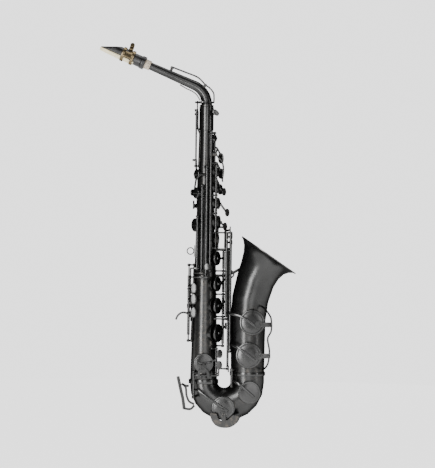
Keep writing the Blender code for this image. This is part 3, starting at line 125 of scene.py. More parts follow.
# Tone holes of the body tube, as name: (angle round the tube, height, radius)
TONE_HOLES = {
    "high_f_sharp": (22, 541, 4.6),
    "palm_f": (270, 540, 4.8),
    "palm_eb": (270, 508, 5.4),
    "palm_d": (270, 476, 6.0),
    "high_e": (151, 473, 7.4),
    "c_key": (0, 478, 6.2),
    "key_b": (0, 448, 7.6),
    "side_c": (151, 438, 8.4),
    "key_a": (0, 419, 8.4),
    "key_g": (0, 384, 10.0),
    "side_bb": (150, 378, 10.4),
    "g_sharp": (-15, 352, 11.0),
    "f_sharp_aux": (35, 316, 11.2),
    "key_f": (35, 268, 12.0),
    "key_e": (35, 227, 13.0),
    "key_d": (35, 176, 15.0),
    "low_eb": (90, 120, 16.4),
}
# Tone holes that face the player's right on bow and bell, as name: (x, z, radius), with their rims level
BOW_HOLES = {"low_c": (38.4, 37.6, 19.5), "low_c_sharp": (86.0, 66.7, 19.0)}
BELL_HOLES = {"low_b": (86.0, 136.0, 22.0), "low_bb": (91.5, 197.4, 21.5)}
SIDE_RIM_Y = -34.6

# Where the left thumb sits, the octave lever's pivot, and the ends of the side keys' tails
THUMB_REST = (-24.0, 0.0, 416.0)
THUMB_REST_R = 8.0
THUMB_ANGLE = 207.0
THUMB_PIVOT_Z = 468.0
TAIL_TIPS = {"high_e": (5.0, -35.4), "side_c": (-3.5, -34.2), "side_bb": (-11.8, -32.0)}

# Mechanism sizes
GAP = 0.35
CHIMNEY_WALL, CHIMNEY_RISE = 1.2, 2.6
ROD_R, TUBE_R = 1.35, 2.9
POST_R, POST_HEAD_R = 1.9, 3.4
CUP_T = 4.4
CUP_MARGIN = 2.3
SIDE_CUP_MARGIN = 2.4
RIM_WIRE_R, BAND_WIDTH = 1.3, 5.5
ARM_BULGE = 0.8
CUP_ROUNDING = 0.5
WIDE_SIDES, NARROW_SIDES = 96, 56
FRONT_F_Z, FRONT_F_OUT = 511.0, 5.0

UPPER_LINE = hinge_line("key_g_hinge")
LOWER_LINE = hinge_line("key_f_hinge")
HIGH_FS_LINE = hinge_line("high_f_sharp_hinge")
HIGH_E_LINE = hinge_line("high_e_hinge")
SIDE_C_LINE = hinge_line("side_c_hinge")
SIDE_BB_LINE = hinge_line("side_bb_hinge")
LEVER_LINE = hinge_line("high_e_lever_hinge")
LOW_B_LINE = hinge_line("low_b_hinge")
LOW_BB_LINE = hinge_line("low_bb_hinge")
CS_LEVER_LINE = hinge_line("c_sharp_lever_hinge")
CS_CUP_LINE = hinge_line("low_c_sharp_hinge")
EB_LINE = hinge_line("low_eb_hinge")
LOW_C_LINE = hinge_line("low_c_hinge")
G_SHARP_LINE = hinge_line("g_sharp_hinge")
TABLE_LINE = hinge_line("g_sharp_lever_hinge")
PALM_LINE = hinge_line("palm_d_hinge")
OCTAVE_LINE = hinge_line("octave_pin_key_hinge")

# The studio, in metres: floor and camera, how bright background and room are, and
# each light's (name, place, width and height, watts)
FLOOR_R, FLOOR_BELOW = 1.5, 0.012
VIEW_CENTRE, VIEW_HEIGHT = vec(0.0504, 0.0, 0.0325), 0.88
CAMERA_AWAY, CAMERA_ROLL = 4.2, 0.66
BACKGROUND, ROOM = 2.2, 0.10
LIGHTS = [
    ("left_strip", (-0.95, -1.9, 0.4), (0.5, 2.2), 66.0),
    ("front_fill", (0.45, -2.6, 0.3), (1.0, 2.2), 24.0),
    ("right_strip", (2.0, -0.9, 0.3), (0.2, 2.0), 9.0),
    ("top_light", (0.2, 0.3, 2.0), (1.6, 0.8), 16.0),
    ("rear_light", (0.4, 2.2, 0.5), (1.2, 2.0), 16.0),
]

# How far each key that stands open at rest has turned from shut, in degrees about +Z
OPEN_TURN = {
    "c_key": -12.0, "key_b": -12.5, "key_a": -13.0, "key_g": -13.0, "f_sharp_aux": 9.0, "key_f": 9.0,
    "key_e": 9.0, "key_d": 9.0, "low_b": -7.5, "low_bb": -6.0, "low_c": -5.5
}
# Material slots
BLACK, DARK, BRASS = "black_lacquer", "black_nickel", "dark_brass"
CORK, EBONITE, CANE = "cork", "ebonite", "cane"
LEATHER, FELT = "pad_leather", "felt"

# What metal edges reflect at a grazing angle, as a share of the light there
EDGE_TINT = (0.05, 0.05, 0.05, 1)


def body_radius(z):
    """Outer radius of the body tube at height z."""
    share = (BODY_TOP_Z - z) / (BODY_TOP_Z - BODY_FOOT_Z)
    return BODY_TOP_R + share * (BODY_FOOT_R - BODY_TOP_R)


def out(angle):
    """Unit vector away from the body tube. 0 degrees is the bell side and 90 the player's right hand."""
    turn = math.radians(angle)
    return vec(math.cos(turn), -math.sin(turn), 0)


def around(distance, angle, z):
    return out(angle) * distance + vec(0, 0, z)


def on(line, z):
    return vec(line[0], line[1], z)


# ---------------------------------------------------------------- materials


def nodes_for(name):
    """(material, add, link, shader): a new material and short ways to build its nodes."""
    made = bpy.data.materials.new(name)
    made.use_nodes = True
    tree = made.node_tree
    shader = tree.nodes["Principled BSDF"]

    def add(kind, **values):
        node_ = tree.nodes.new(kind)
        for key, value in values.items():
            if key in node_.inputs:
                node_.inputs[key].default_value = value
            else:
                setattr(node_, key, value)
        return node_

    def link(start, end):
        tree.links.new(start, end)

    return made, add, link, shader


def noise(add, link, scale, detail=4.0, stretch=(1, 1, 1)):
    """Noise on object coordinates, which are metres at rest."""
    place = add("ShaderNodeTexCoord")
    mapping = add("ShaderNodeMapping", Scale=stretch)
    link(place.outputs["Object"], mapping.inputs["Vector"])
    made = add("ShaderNodeTexNoise", Scale=scale, Detail=detail)
    link(mapping.outputs["Vector"], made.inputs["Vector"])
    return made.outputs["Fac"]


def ramp(add, link, value, stops):
    made = add("ShaderNodeValToRGB")
    link(value, made.inputs["Fac"])
    elements = made.color_ramp.elements
    while len(elements) < len(stops):
        elements.new(0.5)
    for element, (place, colour) in zip(elements, stops):
        element.position = place
        element.color = (*colour, 1) if len(colour) == 3 else colour
    return made.outputs["Color"]


def grey(value):
    return (value, value, value)


def bumpy(add, link, shader, height, strength, distance):
    bump = add("ShaderNodeBump", Strength=strength, Distance=distance)
    link(height, bump.inputs["Height"])
    link(bump.outputs["Normal"], shader.inputs["Normal"])


def metal(name, dark, light, rough, worn, tint=(1.0, 1.0, 0.99), peel=0.07):
    """Plated or lacquered metal: cloudy colour, uneven gloss, orange peel, and edges rubbed brighter."""
    made, add, link, shader = nodes_for(name)
    clouds = noise(add, link, 26.0, 3.0)
    ends = [tuple(share * part for part in tint) for share in (dark, light)]
    colour = ramp(add, link, clouds, [(0.35, ends[0]), (0.65, ends[1])])
    edges = add("ShaderNodeNewGeometry").outputs["Pointiness"]
    rub = ramp(add, link, edges, [(0.53, grey(0)), (0.60, grey(0.6))])
    patchy = add("ShaderNodeMath", operation="MULTIPLY")
    link(rub, patchy.inputs[0])
    link(ramp(add, link, noise(add, link, 180.0), [(0.48, grey(0)), (0.66, grey(1))]), patchy.inputs[1])
    mix = add("ShaderNodeMix", data_type="RGBA")
    link(patchy.outputs[0], mix.inputs["Factor"])
    link(colour, mix.inputs["A"])
    mix.inputs["B"].default_value = (*worn, 1)
    link(mix.outputs["Result"], shader.inputs["Base Color"])
    low, high = rough
    smudges = noise(add, link, 70.0, 4.0)
    link(ramp(add, link, smudges, [(0.3, grey(low)), (0.7, grey(high))]), shader.inputs["Roughness"])
    bumpy(add, link, shader, noise(add, link, 900.0, 2.0), peel, 0.0001)
    shader.inputs["Metallic"].default_value = 0.95
    shader.inputs["Specular Tint"].default_value = EDGE_TINT
    return made


def soft(name, dark, light, rough, scale, bump, distance, stretch=(1, 1, 1)):
    """A grained material: colour and height from the same stretched noise."""
    made, add, link, shader = nodes_for(name)
    grain = noise(add, link, scale, 6.0, stretch)
    link(ramp(add, link, grain, [(0.32, dark), (0.68, light)]), shader.inputs["Base Color"])
    low, high = rough
    link(ramp(add, link, grain, [(0.3, grey(low)), (0.7, grey(high))]), shader.inputs["Roughness"])
    bumpy(add, link, shader, grain, bump, distance)
    return made


MATERIALS = {
    BLACK: metal("satin_black_lacquer", 0.044, 0.058, (0.25, 0.33), (0.12, 0.105, 0.09)),
    DARK: metal("black_nickel_plate", 0.050, 0.068, (0.18, 0.27), (0.16, 0.15, 0.14)),
    BRASS: metal("darkened_brass", 0.10, 0.22, (0.26, 0.40), (0.42, 0.34, 0.20), (1.0, 0.78, 0.46)),
    EBONITE: soft(
        "hard_rubber", (0.004, 0.0038, 0.0035), (0.009, 0.008, 0.0075), (0.30, 0.40), 120.0, 0.04, 0.0002
    ),
    CORK: soft("sheet_cork", (0.20, 0.155, 0.11), (0.60, 0.52, 0.42), (0.80, 0.95), 420.0, 0.5, 0.0004),
    CANE: soft(
        "reed_cane", (0.66, 0.55, 0.32), (0.90, 0.82, 0.58), (0.45, 0.62), 90.0, 0.18, 0.0001, (1, 14, 1)
    ),
    LEATHER: soft("pad_skin", (0.085, 0.050, 0.028), (0.16, 0.10, 0.06), (0.50, 0.66), 700.0, 0.25, 0.0002),
    FELT: soft(
        "bumper_felt", (0.012, 0.012, 0.012), (0.035, 0.034, 0.033), (0.85, 0.98), 1600.0, 0.6, 0.0003
    ),
}


# ---------------------------------------------------------------- fine shapes, each one closed mesh


def mesh_of(points, faces):
    shape = bmesh.new()
    corners = [shape.verts.new(p) for p in points]
    for face in faces:
        shape.faces.new([corners[i] for i in face])
    bmesh.ops.recalc_face_normals(shape, faces=shape.faces)
    made = bpy.data.meshes.new("shape")
    shape.to_mesh(made)
    shape.free()
    return made


def smooth_route(route, steps=7):
    """More points on a curve that passes through the points of a route."""
    if len(route) < 3:
        return list(route)
    ends = [route[0] * 2 - route[1]] + list(route) + [route[-1] * 2 - route[-2]]
    fine = []
    for a, b, c, d in zip(ends, ends[1:], ends[2:], ends[3:]):
        tangent_b = (c - a) * 0.5 * min(1.0, 2 * (c - b).length / max((c - a).length, 1e-6))
        tangent_c = (d - b) * 0.5 * min(1.0, 2 * (c - b).length / max((d - b).length, 1e-6))
        for i in range(steps):
            t = i / steps
            fine.append(
                b * (
                    2 * t**3 - 3 * t**2 + 1
                ) + tangent_b * (t**3 - 2 * t**2 + t) + c * (3 * t**2 - 2 * t**3) + tangent_c * (t**3 - t**2)
            )
    fine.append(route[-1])
    return fine


def rounded(profile, closed, most=0.35, steps=3):
    """The profile with each sharp corner turned into a small curve."""
    count = len(profile)
    fine = []
    for i, (radius, height) in enumerate(profile):
        here = Vector((radius, height))
        if not closed and i in (0, count - 1):
            fine.append((radius, height))
            continue
        before, after = Vector(profile[i - 1]), Vector(profile[(i + 1) % count])
        into, away = here - before, after - here
        if into.length < 1e-6 or away.length < 1e-6 or abs(into.angle_signed(away)) < math.radians(22):
            fine.append((radius, height))
            continue
        reach = min(most, into.length * 0.45, away.length * 0.45)
        start, end = here - into.normalized() * reach, here + away.normalized() * reach
        for k in range(steps + 1):
            t = k / steps
            point = start * (1 - t) ** 2 + here * (2 * t * (1 - t)) + end * t**2
            fine.append((max(point.x, 0.0), point.y))
    return fine


def basis(axis):
    """Two unit vectors square to axis and to each other."""
    axis = axis.normalized()
    helper = UP if abs(axis.z) < 0.9 else LEFT
    first = helper.cross(axis).normalized()
    return first, axis.cross(first)


def sides_for(radius):
    return int(max(18, min(96, 14 + radius * 2.6)))


def turned(profile, centre, axis, sides=0, most=0.35):
    """A profile of (radius, height) turned about axis. A radius of 0 closes an end, and a profile
    with neither end on the axis is a ring."""
    axis = axis.normalized()
    u, v = basis(axis)
    ring = bool(profile[0][0] and profile[-1][0])
    profile = rounded(profile, ring, most)
    sides = max(sides, sides_for(max(radius for radius, _ in profile)))
    points, rings = [], []
    for radius, height in profile:
        middle = centre + axis * height
        if radius == 0:
            rings.append([len(points)])
            points.append(middle)
            continue
        rings.append(list(range(len(points), len(points) + sides)))
        for i in range(sides):
            turn = 2 * math.pi * i / sides
            points.append(middle + (u * math.cos(turn) + v * math.sin(turn)) * radius)
    faces = []
    pairs = list(zip(rings, rings[1:]))
    if ring:
        pairs.append((rings[-1], rings[0]))
    for low, high in pairs:
        for i in range(sides):
            j = (i + 1) % sides
            corners = [low[i % len(low)], low[j % len(low)], high[j % len(high)], high[i % len(high)]]
            corners = list(dict.fromkeys(corners))
            if len(corners) > 2:
                faces.append(corners)
    return mesh_of(points, faces)


def rod(start, end, radius, end_radius=None):
    """A round bar or a cone frustum between two points."""
    length = (end - start).length
    tip = radius if end_radius is None else end_radius
    return turned([(0, 0), (radius, 0), (tip, length), (0, length)], start, end - start)


def tube_of(rings):
    """A closed skin over rings of points, with flat ends."""
    sides = len(rings[0])
    points = [point for ring in rings for point in ring]
    faces = [list(range(sides)), list(range(len(points) - sides, len(points)))]
    for k in range(len(rings) - 1):
        low, high = k * sides, (k + 1) * sides
        for i in range(sides):
            j = (i + 1) % sides
            faces.append([low + i, low + j, high + j, high + i])
    return mesh_of(points, faces)


def swept(stations, sides):
    """Round sections (centre, direction, radius), all in the XZ plane, joined and capped."""
    rings = []
    for centre, direction, radius in stations:
        other = direction.cross(LEFT).normalized()
        turns = [2 * math.pi * (i + 0.5) / sides for i in range(sides)]
        rings.append([centre + (other * math.cos(t) + LEFT * math.sin(t)) * radius for t in turns])
    return tube_of(rings)


def frames_along(route, across=None):
    """(point, direction, side) along a route. The side keeps to across, or turns as little as it can."""
    found = []
    side = across
    for i, point in enumerate(route):
        before, after = route[max(i - 1, 0)], route[min(i + 1, len(route) - 1)]
        direction = (after - before).normalized()
        if side is None:
            side = basis(direction)[0]
        start = side if across is None else across
        square = start - direction * start.dot(direction)
        if square.length > 0.05:
            side = square.normalized()
        found.append((point, direction, side))
    return found


def end_scales(count):
    """How much each section shrinks, so that both ends of a bar are rounded."""
    return [0.62, 0.9] + [1.0] * (count - 4) + [0.9, 0.62]


def with_round_ends(route, reach):
    """Adds two points close to each end, where the sections shrink."""
    first, last = (route[1] - route[0]).normalized(), (route[-1] - route[-2]).normalized()
    reach = min(reach, (route[1] - route[0]).length * 0.4, (route[-1] - route[-2]).length * 0.4)
    start = [route[0], route[0] + first * reach * 0.35, route[0] + first * reach]
    end = [route[-1] - last * reach, route[-1] - last * reach * 0.35, route[-1]]
    return start + list(route[1:-1]) + end


def bar(route, outline, across, reach):
    """A bar along a route whose section is outline, a list of (side, height)."""
    route = with_round_ends(smooth_route([Vector(point) for point in route]), reach)
    rings = []
    for (point, direction, side), scale in zip(frames_along(route, across), end_scales(len(route))):
        high = direction.cross(side)
        rings.append([point + (side * a + high * b) * scale for a, b in outline])
    return tube_of(rings)


def wire(route, radius):
    """A round wire through the points of a route."""
    turns = [2 * math.pi * k / 16 for k in range(16)]
    return bar(route, [(radius * math.cos(t), radius * math.sin(t)) for t in turns], None, radius * 0.8)


def strap(route, width, thickness, across):
    """A flat bar with rounded edges through the points of a route. across is the direction of its width."""
    half, high = width / 2, thickness / 2
    corner = min(half, high) * 0.55
    outline = []
    for a, b, start in ((1, 1, 0), (-1, 1, 90), (-1, -1, 180), (1, -1, 270)):
        for step in (0, 30, 60, 90):
            turn = math.radians(start + step)
            outline.append(
                (a * (half - corner) + corner * math.cos(turn), b * (high - corner) + corner * math.sin(turn))
            )
    return bar(route, outline, across, high * 0.8)


def oval_plate(centre, normal, long_axis, length, width, thickness):
    """A plate with round ends, rounded edges and a slightly crowned face, such as a touchpiece."""
    normal = normal.normalized()
    long_axis = (long_axis - normal * long_axis.dot(normal)).normalized()
    short_axis = normal.cross(long_axis)
    half, edge = thickness / 2, min(0.7, thickness * 0.38)
    levels = [(edge, -half), (edge * 0.3, -half + edge * 0.3), (0, -half + edge), (0, half - edge)]
    levels += [
        (edge * 0.3, half - edge * 0.3), (edge, half), (width * 0.2, half + 0.12), (width * 0.36, half + 0.18)
    ]
    rings = []
    for inset, level in levels:
        ring = []
        for i in range(48):
            turn = 2 * math.pi * (i + 0.5) / 48
            c, s = math.cos(turn), math.sin(turn)
            c = math.copysign(abs(c) ** 0.8, c) * (length / 2 - inset)
            s = math.copysign(abs(s) ** 0.8, s) * (width / 2 - inset)
            ring.append(centre + long_axis * c + short_axis * s + normal * level)
        rings.append(ring)
    return tube_of(rings)


# ---------------------------------------------------------------- pieces that stand for CAD nodes


def extent(mesh):
    points = [v.co for v in mesh.vertices]
    return [(min(p[k] for p in points), max(p[k] for p in points)) for k in range(3)]


def carved(shape, cuts):
    """The shape less the cuts that reach it."""
    box = extent(shape)
    near = []
    for cut in cuts:
        other = extent(cut)
        if all(box[k][0] < other[k][1] and other[k][0] < box[k][1] for k in range(3)):
            near.append(cut)
    if not near:
        return shape
    base = bpy.data.objects.new("base", shape)
    bpy.context.scene.collection.objects.link(base)
    group = bpy.data.collections.new("cuts")
    for cut in near:
        group.objects.link(bpy.data.objects.new("cut", cut))
    step = base.modifiers.new("cut", "BOOLEAN")
    step.operation = "DIFFERENCE"
    step.operand_type = "COLLECTION"
    step.collection = group
    step.solver = "EXACT"
    bpy.context.view_layer.update()
    mesh = bpy.data.meshes.new_from_object(base.evaluated_get(bpy.context.evaluated_depsgraph_get()))
    for obj in [base] + list(group.objects):
        bpy.data.objects.remove(obj)
    bpy.data.collections.remove(group)
    return mesh


def flat_list(shapes):
    for shape in shapes:
        if isinstance(shape, list):
            yield from flat_list(shape)
        else:
            yield shape


def piece(name, meshes, slot, body, transform=None):
    """One object from closed meshes in the design frame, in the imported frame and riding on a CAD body."""
    shape = bmesh.new()
    for mesh in meshes:
        shape.from_mesh(mesh)
    bmesh.ops.remove_doubles(shape, verts=shape.verts, dist=0.002)
    bmesh.ops.dissolve_degenerate(shape, dist=0.002, edges=shape.edges)
    made = bpy.data.meshes.new(name)
    shape.to_mesh(made)
    shape.free()
    to_frame = Matrix.Scale(MM, 4) @ Matrix.Translation(-RING_CENTRE)
    made.transform(to_frame @ (transform or Matrix.Identity(4)))
    made.materials.clear()
    made.materials.append(MATERIALS[slot])
    for polygon in made.polygons:
        polygon.material_index = 0
    made.shade_smooth()
    made.set_sharp_from_angle(angle=math.radians(38))
    obj = bpy.data.objects.new(name, made)
    bpy.context.scene.collection.objects.link(obj)
    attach(obj, body)
    return obj


def node(name, shapes, kind, cuts=(), pivot=(0, 0, 0)):
    """The fine pieces for a CAD node: one of the node's own material, and one for each other material in it.
    A key that stands open at rest is drawn shut, and turned about its hinge line afterwards."""
    pivot = Vector(pivot)
    by_slot = {kind: []}
    for shape in flat_list(shapes):
        slot, mesh = shape if isinstance(shape, tuple) else (kind, shape)
        by_slot.setdefault(slot, []).append(carved(mesh, cuts) if slot == kind else mesh)
    turn = Matrix.Rotation(math.radians(OPEN_TURN.get(name, 0.0)), 4, "Z")
    transform = Matrix.Translation(pivot) @ turn @ Matrix.Translation(-pivot)
    for slot, meshes in by_slot.items():
        own = slot == kind
        made = piece(f"{name}_{'fine' if own else slot}", meshes, slot, BODY_OF[name], transform)
        if own:
            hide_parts(name)


# ---------------------------------------------------------------- parts of the mechanism


def hole_seat(angle, z, radius, rise=CHIMNEY_RISE):
    """(chimney with a rolled rim, hole cutter, rim centre, direction) of a tone hole on the body tube."""
    direction = out(angle)
    wall = body_radius(z)
    outer = radius + CHIMNEY_WALL
    root = math.sqrt(max(wall**2 - outer**2, 1)) - 3
    base = vec(0, 0, z)
    top = wall + rise
    profile = [
        (0, root), (outer, root), (outer, top - 1.3), (outer + 0.35, top - 0.9), (outer + 0.35, top - 0.2)
    ]
    profile += [(outer - 0.1, top), (0, top)]
    chimney = turned(profile, base, direction)
    cutter = rod(base + direction * 2, base + direction * (wall + rise + 6), radius)
    return chimney, cutter, base + direction * top, direction


def cup(rim, direction, radius):
    """A pad cup and its leather pad, just clear of a tone hole's rim, and the middle of the cup's back."""
    lift, top = GAP, GAP + CUP_T
    inner = radius - 0.9
    profile = [(0, lift + 1.2), (inner, lift + 1.2), (inner, lift), (radius, lift), (radius, lift + 2.7)]
    profile += [
        (radius - 0.7, lift + 3.5), (radius * 0.86, top - 0.55), (radius * 0.82, top - 0.7),
        (radius * 0.78, top - 0.5)
    ]
    profile += [(radius * 0.45, top - 0.12), (0, top)]
    shell = turned(profile, rim, direction, most=CUP_ROUNDING)
    pad_face = 0.06
    pad = turned(
        [
            (0, pad_face), (inner - 1.4, pad_face), (inner - 0.1, 0.5), (inner - 0.1, lift + 1.4),
            (0, lift + 1.4)
        ],
        rim, direction, most=CUP_ROUNDING
    )
    return [shell, (LEATHER, pad)], rim + direction * top


def cup_over(name):
    """The pad cup over a tone hole of the body tube, the middle of its back, and which way the hole faces."""
    _, _, rim, direction = hole_seat(*TONE_HOLES[name])
    pad, back = cup(rim, direction, TONE_HOLES[name][2] + CUP_MARGIN)
    return pad, back, direction


def hinge_tube(line, low, high, radius=TUBE_R):
    """A key's tube, with a turned collar at each end."""
    length = high - low
    collar = min(1.6, length * 0.1)
    profile = [
        (0, 0), (radius, 0), (radius, collar), (radius - 0.28, collar + 0.3),
        (radius - 0.28, length - collar - 0.3)
    ]
    profile += [(radius, length - collar), (radius, length), (0, length)]
    return turned(profile, on(line, low), UP)


def arm(route, width=3.4, thickness=2.2, across=UP):
    """A forged arm: a bar whose section is a flattened round."""
    outline = []
    for i in range(20):
        c, s = math.cos(2 * math.pi * i / 20), math.sin(2 * math.pi * i / 20)
        outline.append(
            (
                math.copysign(abs(c) ** ARM_BULGE, c) * width / 2,
                math.copysign(abs(s) ** ARM_BULGE, s) * thickness / 2
            )
        )
    return bar(route, outline, across, thickness * 0.4)


def angle_of(line):
    return math.degrees(math.atan2(-line[1], line[0]))


def ball_head(line, z, length=5.0):
    """The ball of a post, faced off where the keys run against it."""
    half, r = length / 2, POST_HEAD_R
    profile = [(0, -half), (r * 0.55, -half), (r * 0.8, -half * 0.78), (r * 0.96, -half * 0.4), (r, 0)]
    profile += [(radius, -height) for radius, height in reversed(profile[:-1])]
    return turned(profile, on(line, z), UP)


def stem(foot, head):
    """A turned post between its foot and its ball."""
    length = (head - foot).length
    profile = [
        (0, 0), (POST_R + 1.0, 0), (POST_R + 1.0, 0.7), (POST_R + 0.3, 1.2),
        (POST_R - 0.4, min(3.0, length * 0.4))
    ]
    profile += [(POST_R - 0.4, length * 0.62), (POST_R, length), (0, length)]
    return turned(profile, foot, head - foot)


def post(angle, line, z, length=5.0, lift=GAP + 1.8):
    """A post on the body tube at angle and z, with a ball head round the hinge line."""
    foot = around(body_radius(z) + lift, angle, z)
    return [ball_head(line, z, length), stem(foot, on(line, z))]


def soldered_post(angle, line, z):
    """A post whose foot runs into the wall of the body tube."""
    return post(angle, line, z, 5.0, -0.6)


def rib(angle, low, high, width=7.0):
    """A strip on the body tube that carries a row of posts."""
    ends = [around(body_radius(z) + GAP + 1.2, angle, z) for z in (low, high)]
    return strap(ends, width, 1.6, out(angle).cross(UP))


def post_row(angle, line, strip, heights, rod_ends, width=7.0, ball=5.0):
    """A strip on the body tube with its posts, and the rod that runs through them."""
    shapes = [rib(angle, *strip, width)]
    for z in heights:
        shapes += post(angle, line, z, ball)
    return shapes + [rod(on(line, rod_ends[0]), on(line, rod_ends[1]), ROD_R)]


def touch_pearl(centre, direction, radius):
    """A round holder with a dished black touch in it."""
    holder = turned(
        [
            (0, -1.6), (radius * 0.7, -1.6), (radius, -0.4), (radius, 1.5), (radius - 0.8, 1.5),
            (radius - 0.8, 0.6), (0, 0.6)
        ],
        centre, direction
    )
    pearl = turned(
        [(0, 0.5), (radius - 0.85, 0.5), (radius - 0.85, 1.35), (radius * 0.55, 1.05), (0, 0.9)], centre,
        direction
    )
    return [holder, (EBONITE, pearl)]


# ---------------------------------------------------------------- the bore


def bell_station(s):
    """Centre and direction of the bell's axis, s along it from its foot."""
    straight = BELL_STRAIGHT_TOP_Z - BELL_FOOT_Z
    if s <= straight:
        return vec(BELL_X, 0, BELL_FOOT_Z + s), UP
    turn = (s - straight) / BELL_ARC_R
    centre = vec(
        BELL_X + BELL_ARC_R * (1 - math.cos(turn)), 0, BELL_STRAIGHT_TOP_Z + BELL_ARC_R * math.sin(turn)
    )
    return centre, vec(math.sin(turn), 0, math.cos(turn))


def bow_station(turn):
    """Centre, direction and outer radius of the bow, turn from 0 at the body to pi at the bell."""
    centre = vec(BOW_BEND_R * (1 - math.cos(turn)), 0, BODY_FOOT_Z - BOW_BEND_R * math.sin(turn))
    direction = vec(math.sin(turn), 0, -math.cos(turn))
    share = turn / math.pi
    radius = BODY_FOOT_R + 6.0 * math.sin(share * math.pi / 2) + 1.5 * math.sin(share * math.pi)
    return centre, direction, radius


def neck_station(s):
    """Centre and direction of the neck's axis, s along it from the foot of its bend."""
    turn = min(max(s, 0), NECK_BEND) / NECK_BEND_R
    centre = vec(-NECK_BEND_R * (1 - math.cos(turn)), 0, NECK_BASE_Z + NECK_BEND_R * math.sin(turn))
    direction = vec(-math.sin(turn), 0, math.cos(turn))
    return centre + direction * (min(s, 0) + max(s - NECK_BEND, 0)), direction


def outward(direction):
    """Square to a direction in the XZ plane: on the neck, away from the hollow side of its bend."""
    return vec(direction.z, 0, -direction.x)


def neck_radius(s):
    share = max(0.0, min(1.0, s / NECK_END))
    return 10.4 - 3.7 * share**0.8


def make_body_tube():
    foot, top = vec(0, 0, BODY_FOOT_Z), vec(0, 0, BODY_TOP_Z)
    slope = (BODY_FOOT_R - BODY_TOP_R) / (BODY_TOP_Z - BODY_FOOT_Z)
    shapes = [rod(foot, top, BODY_FOOT_R, BODY_TOP_R)]
    margin = 5.0
    cuts = [
        rod(
            foot - vec(0, 0, margin), top + vec(0, 0, margin), BODY_FOOT_R - WALL + slope * margin,
            BODY_TOP_R - WALL - slope * margin
        )
    ]
    for angle, z, radius in TONE_HOLES.values():
        chimney, cutter, _, _ = hole_seat(angle, z, radius)
        shapes.append(chimney)
        cuts.append(cutter)
    soldered = (
        (angle_of(EB_LINE), EB_LINE, 147.0),
        (angle_of(EB_LINE), EB_LINE, 101.0),
        (angle_of(LOW_C_LINE), LOW_C_LINE, 104.0),
        (angle_of(LOW_B_LINE), LOW_B_LINE, 364.0),
        (angle_of(LOW_BB_LINE), LOW_BB_LINE, 202.5),
        (angle_of(CS_LEVER_LINE), CS_LEVER_LINE, 333.5),
        (angle_of(CS_LEVER_LINE), CS_LEVER_LINE, 109.0),
        (angle_of(HIGH_FS_LINE), HIGH_FS_LINE, 552.0),
        (angle_of(HIGH_FS_LINE), HIGH_FS_LINE, 293.0),
        (angle_of(SIDE_BB_LINE), SIDE_BB_LINE, 394.0),
        (angle_of(SIDE_BB_LINE), SIDE_BB_LINE, 295.0),
    )
    for angle, line, z in soldered:
        shapes += soldered_post(angle, line, z)
    shapes.append(rod(on(LOW_BB_LINE, 352.0), on(LOW_BB_LINE, 365.5), POST_HEAD_R))
    # The saddle that the front F lever rocks in
    wall = body_radius(FRONT_F_Z)
    for y in (-4.8, 4.8):
        cheek = [(wall - 2.6, y, FRONT_F_Z), (wall + 7.0, y, FRONT_F_Z)]
        shapes.append(strap(cheek, 6.0, 1.8, UP))
    pin = vec(wall + FRONT_F_OUT, 0, FRONT_F_Z)
    shapes.append(rod(pin - vec(0, 5.2, 0), pin + vec(0, 5.2, 0), 1.0))
    node("body_tube", shapes, BLACK, cuts)


def side_hole(x, z, radius, inner_y=-14.0):
    """(chimney, cutter) of a tone hole that faces -Y on the bow or the bell."""
    start = vec(x, inner_y, z)
    rim = vec(x, SIDE_RIM_Y, z)
    return rod(start, rim, radius + CHIMNEY_WALL), rod(vec(x, -2, z), rim + RIGHT * 8, radius)


def bow_post(line, z):
    """A post on the outside of the bow, its foot on the bow's surface nearest to the head."""
    head = on(line, z)
    bend = vec(BOW_BEND_R, 0, BODY_FOOT_Z)
    turn = math.atan2(bend.z - z, abs(bend.x - line[0]))
    if line[0] > bend.x:
        turn = math.pi - turn
    centre, _, radius = bow_station(turn)
    foot = centre + (head - centre).normalized() * (radius - 0.8)
    barrel = rod(on(line, z - 2.5), on(line, z + 2.5), POST_HEAD_R)
    return [barrel, rod(foot, head, POST_R + 0.5, POST_R)]


def bell_post(line, z):
    centre = vec(BELL_X, 0, z)
    head = on(line, z)
    foot = centre + (head - centre).normalized() * 31.0
    barrel = rod(on(line, z - 2.5), on(line, z + 2.5), POST_HEAD_R)
    return [barrel, rod(foot, head, POST_R + 0.5, POST_R)]


def make_bow():
    count = 10
    outer, inner = [], []
    for i in range(count + 1):
        centre, direction, radius = bow_station(math.pi * i / count)
        outer.append((centre, direction, radius))
        inner.append((centre, direction, radius - WALL))
    top, up, radius = outer[-1]
    outer.append((top + vec(0, 0, BELL_FOOT_Z - BODY_FOOT_Z - GAP), up, 31.5))
    inner.append((top + vec(0, 0, BELL_FOOT_Z - BODY_FOOT_Z + 5), up, 31.5 - WALL))
    foot, down, radius = outer[0]
    outer[0] = (foot - vec(0, 0, GAP), down, radius)
    inner.insert(0, (foot + vec(0, 0, 4), down, radius - WALL))
    shapes, cuts = [swept(outer, WIDE_SIDES)], [swept(inner, WIDE_SIDES)]
    for x, z, hole_radius in BOW_HOLES.values():
        chimney, cutter = side_hole(x, z, hole_radius)
        shapes.append(chimney)
        cuts.append(cutter)
    shapes += bow_post(LOW_C_LINE, 56.0)
    shapes += bow_post(CS_CUP_LINE, 78.0)
    node("bow", shapes, BLACK, cuts)


